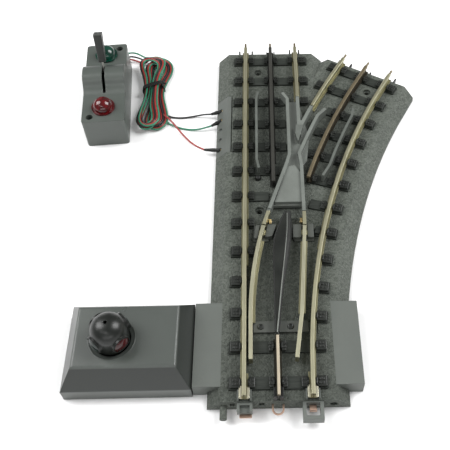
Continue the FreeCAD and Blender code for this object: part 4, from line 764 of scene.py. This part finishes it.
def recess_rim(materials):
    """Shallow dish of the box's recess, just clear of the lantern turning in it."""
    mesh = bmesh.new()
    at = Matrix.Translation(Vector(LANTERN_AT))
    profile = [(9.45, 20.35), (9.45, 21.1), (9.7, 21.3), (10.9, 21.5), (11.3, 21.85), (11.6, 22.08),
               (12.0, 22.06), (12.1, 21.9), (12.1, 20.35), (9.45, 20.35)]
    lathe(mesh, profile, at, 64)
    smooth(piece("recess_rim", mesh, materials["box"], "track", "box_plastic"))


def toe_pads(materials):
    """Flat nickel pads soldered beside the running rails' toe ends."""
    mesh = bmesh.new()
    for x in (LEFT, RIGHT):
        for side, long in ((-1, 7.2), (1, 6.4)):
            a, b = sorted((x + side * 1.2, x + side * 2.6))
            slab(mesh, [(a, 0.7), (b, 0.7), (b, long), (a, long)], 11.9, 12.5, 0.15)
    piece("toe_pads", mesh, materials["nickel"], "track", "running_rail")


def toe_sockets(materials):
    """Moulded channels that the rail ends stand in at the toe end."""
    mesh = bmesh.new()
    for x in (LEFT, RIGHT):
        for side in BOTH:
            a, b = sorted((x + side * 2.7, x + side * 3.6))
            block(mesh, (a, 0.2, 9.9), (b, 5.4, 12.4), 0.2)
    piece("toe_sockets", mesh, materials["pad"], "track", "roadbed_plastic")
    mesh = bmesh.new()
    block(mesh, (-2.5, 0.1, 9.8), (-0.62, 5.2, 15.2), 0.25)
    block(mesh, (0.62, 0.1, 9.8), (2.5, 5.2, 15.2), 0.25)
    piece("centre_socket", mesh, materials["black"], "track", "black_plastic")


# ---------------------------------------------------------------- ends of the wires

BOOT_HEAD_Y = {"black": 203.7, "green": 195.1, "red": 169.3}
BOOT_HEAD_X = -33.2
TERMINAL_Z = 5.0


def boot(name, materials):
    """Shrunk sleeve over a plug pin, tapering to its wire, with the pin's shank beyond it."""
    y = BOOT_HEAD_Y[name]
    head = Vector((BOOT_HEAD_X, y, TERMINAL_Z))
    along = Vector(TAILS[name][-1]) - head
    long = along.length
    at = Matrix.Translation(head) @ along.to_track_quat("Z", "X").to_matrix().to_4x4()
    mesh = bmesh.new()
    profile = [(0, 0.0), (1.0, 0.0), (1.25, 0.15), (1.32, 0.5), (1.3, 0.18 * long), (1.18, 0.24 * long),
               (1.27, 0.32 * long), (1.24, 0.5 * long), (1.1, 0.62 * long), (0.98, 0.8 * long),
               (0.84, 0.93 * long), (0.8, long - 0.1), (0.62, long), (0, long)]
    lathe(mesh, profile, at, 24)
    made = piece("boot_" + name, mesh, materials["black"], "track", "black_plastic", "wire_boots")
    smooth(made, 50)
    mesh = bmesh.new()
    into = Matrix.Translation(Vector((BOOT_HEAD_X + 0.2, y, TERMINAL_Z)))
    into = into @ Matrix.Rotation(math.pi / 2, 4, "Y")
    lathe(mesh, [(0, 0), (0.93, 0), (0.93, 3.9), (0.6, 4.5), (0, 4.6)], into, 20)
    pin = piece("plug_pin_" + name, mesh, materials["brass"], "track", "brass", "wire_boots")
    smooth(pin)
    return made, pin


TIE_LEFT = Vector((-87.1, 225.0))
TIE_RIGHT = Vector((-73.9, 230.8))
TIE_LOW, TIE_HIGH = 0.62, 7.75
TIE_END = [(-74.4, 229.6, 6.6), (-73.3, 227.6, 6.2), (-72.4, 225.6, 5.2), (-72.3, 224.0, 4.2)]
TWIST_AT = (-74.2, 231.0, 6.4)
TWIST_RADIUS = 0.45
TWIST_STEP = math.pi / 2.5


def tie_loop(shift, low, high):
    """Control points of one strand round the waist, slanting in plan."""
    def at(share, z):
        x, y = TIE_LEFT.lerp(TIE_RIGHT, share)
        return x, y + shift, z
    return [at(0.0, 3.4), at(0.01, 6.4), at(0.08, high), at(0.3, high + 0.2), at(0.55, high + 0.2),
            at(0.8, high), at(0.96, high - 0.6), at(1.0, 5.4), at(1.0, 2.6), at(0.95, low), at(0.5, low),
            at(0.08, low)]


def twist_points(side):
    """One of the two strands twisted together, running to the right and sinking a little."""
    x, y, z = TWIST_AT
    points = []
    for i in range(13):
        a = i * TWIST_STEP
        sink = 0.05 * i
        points.append((x + 0.2 * i, y + side * TWIST_RADIUS * math.cos(a) - sink,
                       z + side * TWIST_RADIUS * math.sin(a) - sink))
    return points


def waist_tie(materials):
    """Twisted wire tie round the hank, its ends bent out to the right."""
    made = []
    for i, shift in enumerate((-0.9, 0.2, 1.3)):
        made.append(tube(f"hank_tie_loop_{i}", tie_loop(shift, TIE_LOW, TIE_HIGH), 0.5 * MM, True))
    for i, side in enumerate((1, -1)):
        made.append(tube(f"hank_tie_twist_{i}", twist_points(side), 0.42 * MM))
    made.append(tube("hank_tie_end", TIE_END, 0.42 * MM))
    for strand in made:
        paint(strand, materials["black"])
        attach(strand, "track")
        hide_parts("hank_tie")
    return made


def wires(materials):
    tie = waist_tie(materials)
    for name in ("green", "black", "red"):
        cord = tube("wire_run_" + name, wire_points(name), WIRE / 2)
        paint(cord, materials[name + "_wire"])
        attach(cord, "track")
        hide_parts("wire_" + name, "flat_cable", "wire_hank")
        sleeve_piece, pin = boot(name, materials)


# ---------------------------------------------------------------- stage

def stage():
    data = bpy.data.meshes.new("floor")
    half = 3.0
    corners = [(-half, -half, 0), (half, -half, 0), (half, half, 0), (-half, half, 0)]
    data.from_pydata(corners, [], [(0, 1, 2, 3)])
    floor = bpy.data.objects.new("floor", data)
    floor.location.z = -0.05 * MM
    bpy.context.scene.collection.objects.link(floor)
    material, _, shader = start("pale_floor")
    shader.inputs["Base Color"].default_value = (0.9, 0.9, 0.9, 1.0)
    shader.inputs["Roughness"].default_value = 0.9
    paint(floor, material)


def soft_light(name, at, target, size, watts):
    data = bpy.data.lights.new(name, "AREA")
    data.energy = watts
    data.shape = "RECTANGLE"
    data.size, data.size_y = size
    obj = bpy.data.objects.new(name, data)
    obj.location = at
    obj.rotation_euler = (Vector(target) - Vector(at)).to_track_quat("-Z", "Y").to_euler()
    bpy.context.scene.collection.objects.link(obj)


def lights():
    world = bpy.data.worlds.new("studio")
    world.use_nodes = True
    background = world.node_tree.nodes["Background"]
    background.inputs["Color"].default_value = (1.0, 1.0, 1.0, 1.0)
    background.inputs["Strength"].default_value = 0.3
    bpy.context.scene.world = world
    target = (-0.02, 0.12, 0.0)
    soft_light("key", (-0.9, 0.34, 0.98), target, (0.7, 0.9), 16.5)
    soft_light("fill", (0.95, 0.4, 0.98), target, (0.7, 0.9), 20.0)
    soft_light("strip", (-0.36, -0.75, 1.15), target, (1.3, 0.1), 3.0)
    soft_light("front", (0.1, -1.1, 0.45), target, (1.4, 0.4), 4.0)
    bpy.context.scene.view_settings.view_transform = "Standard"


def main():
    make_camera()
    materials = make_materials()
    wires(materials)
    for name, finish in CAD_FINISH.items():
        paint(NODES[name], materials[finish])
    chairs(materials)
    rivets(materials)
    bolts_and_tabs(materials)
    toe_sockets(materials)
    toe_pads(materials)
    recess_rim(materials)
    heel_plates(materials)
    frog_nose(materials)
    ridge(materials)
    stage()
    lights()
    bpy.context.view_layer.update()


main()
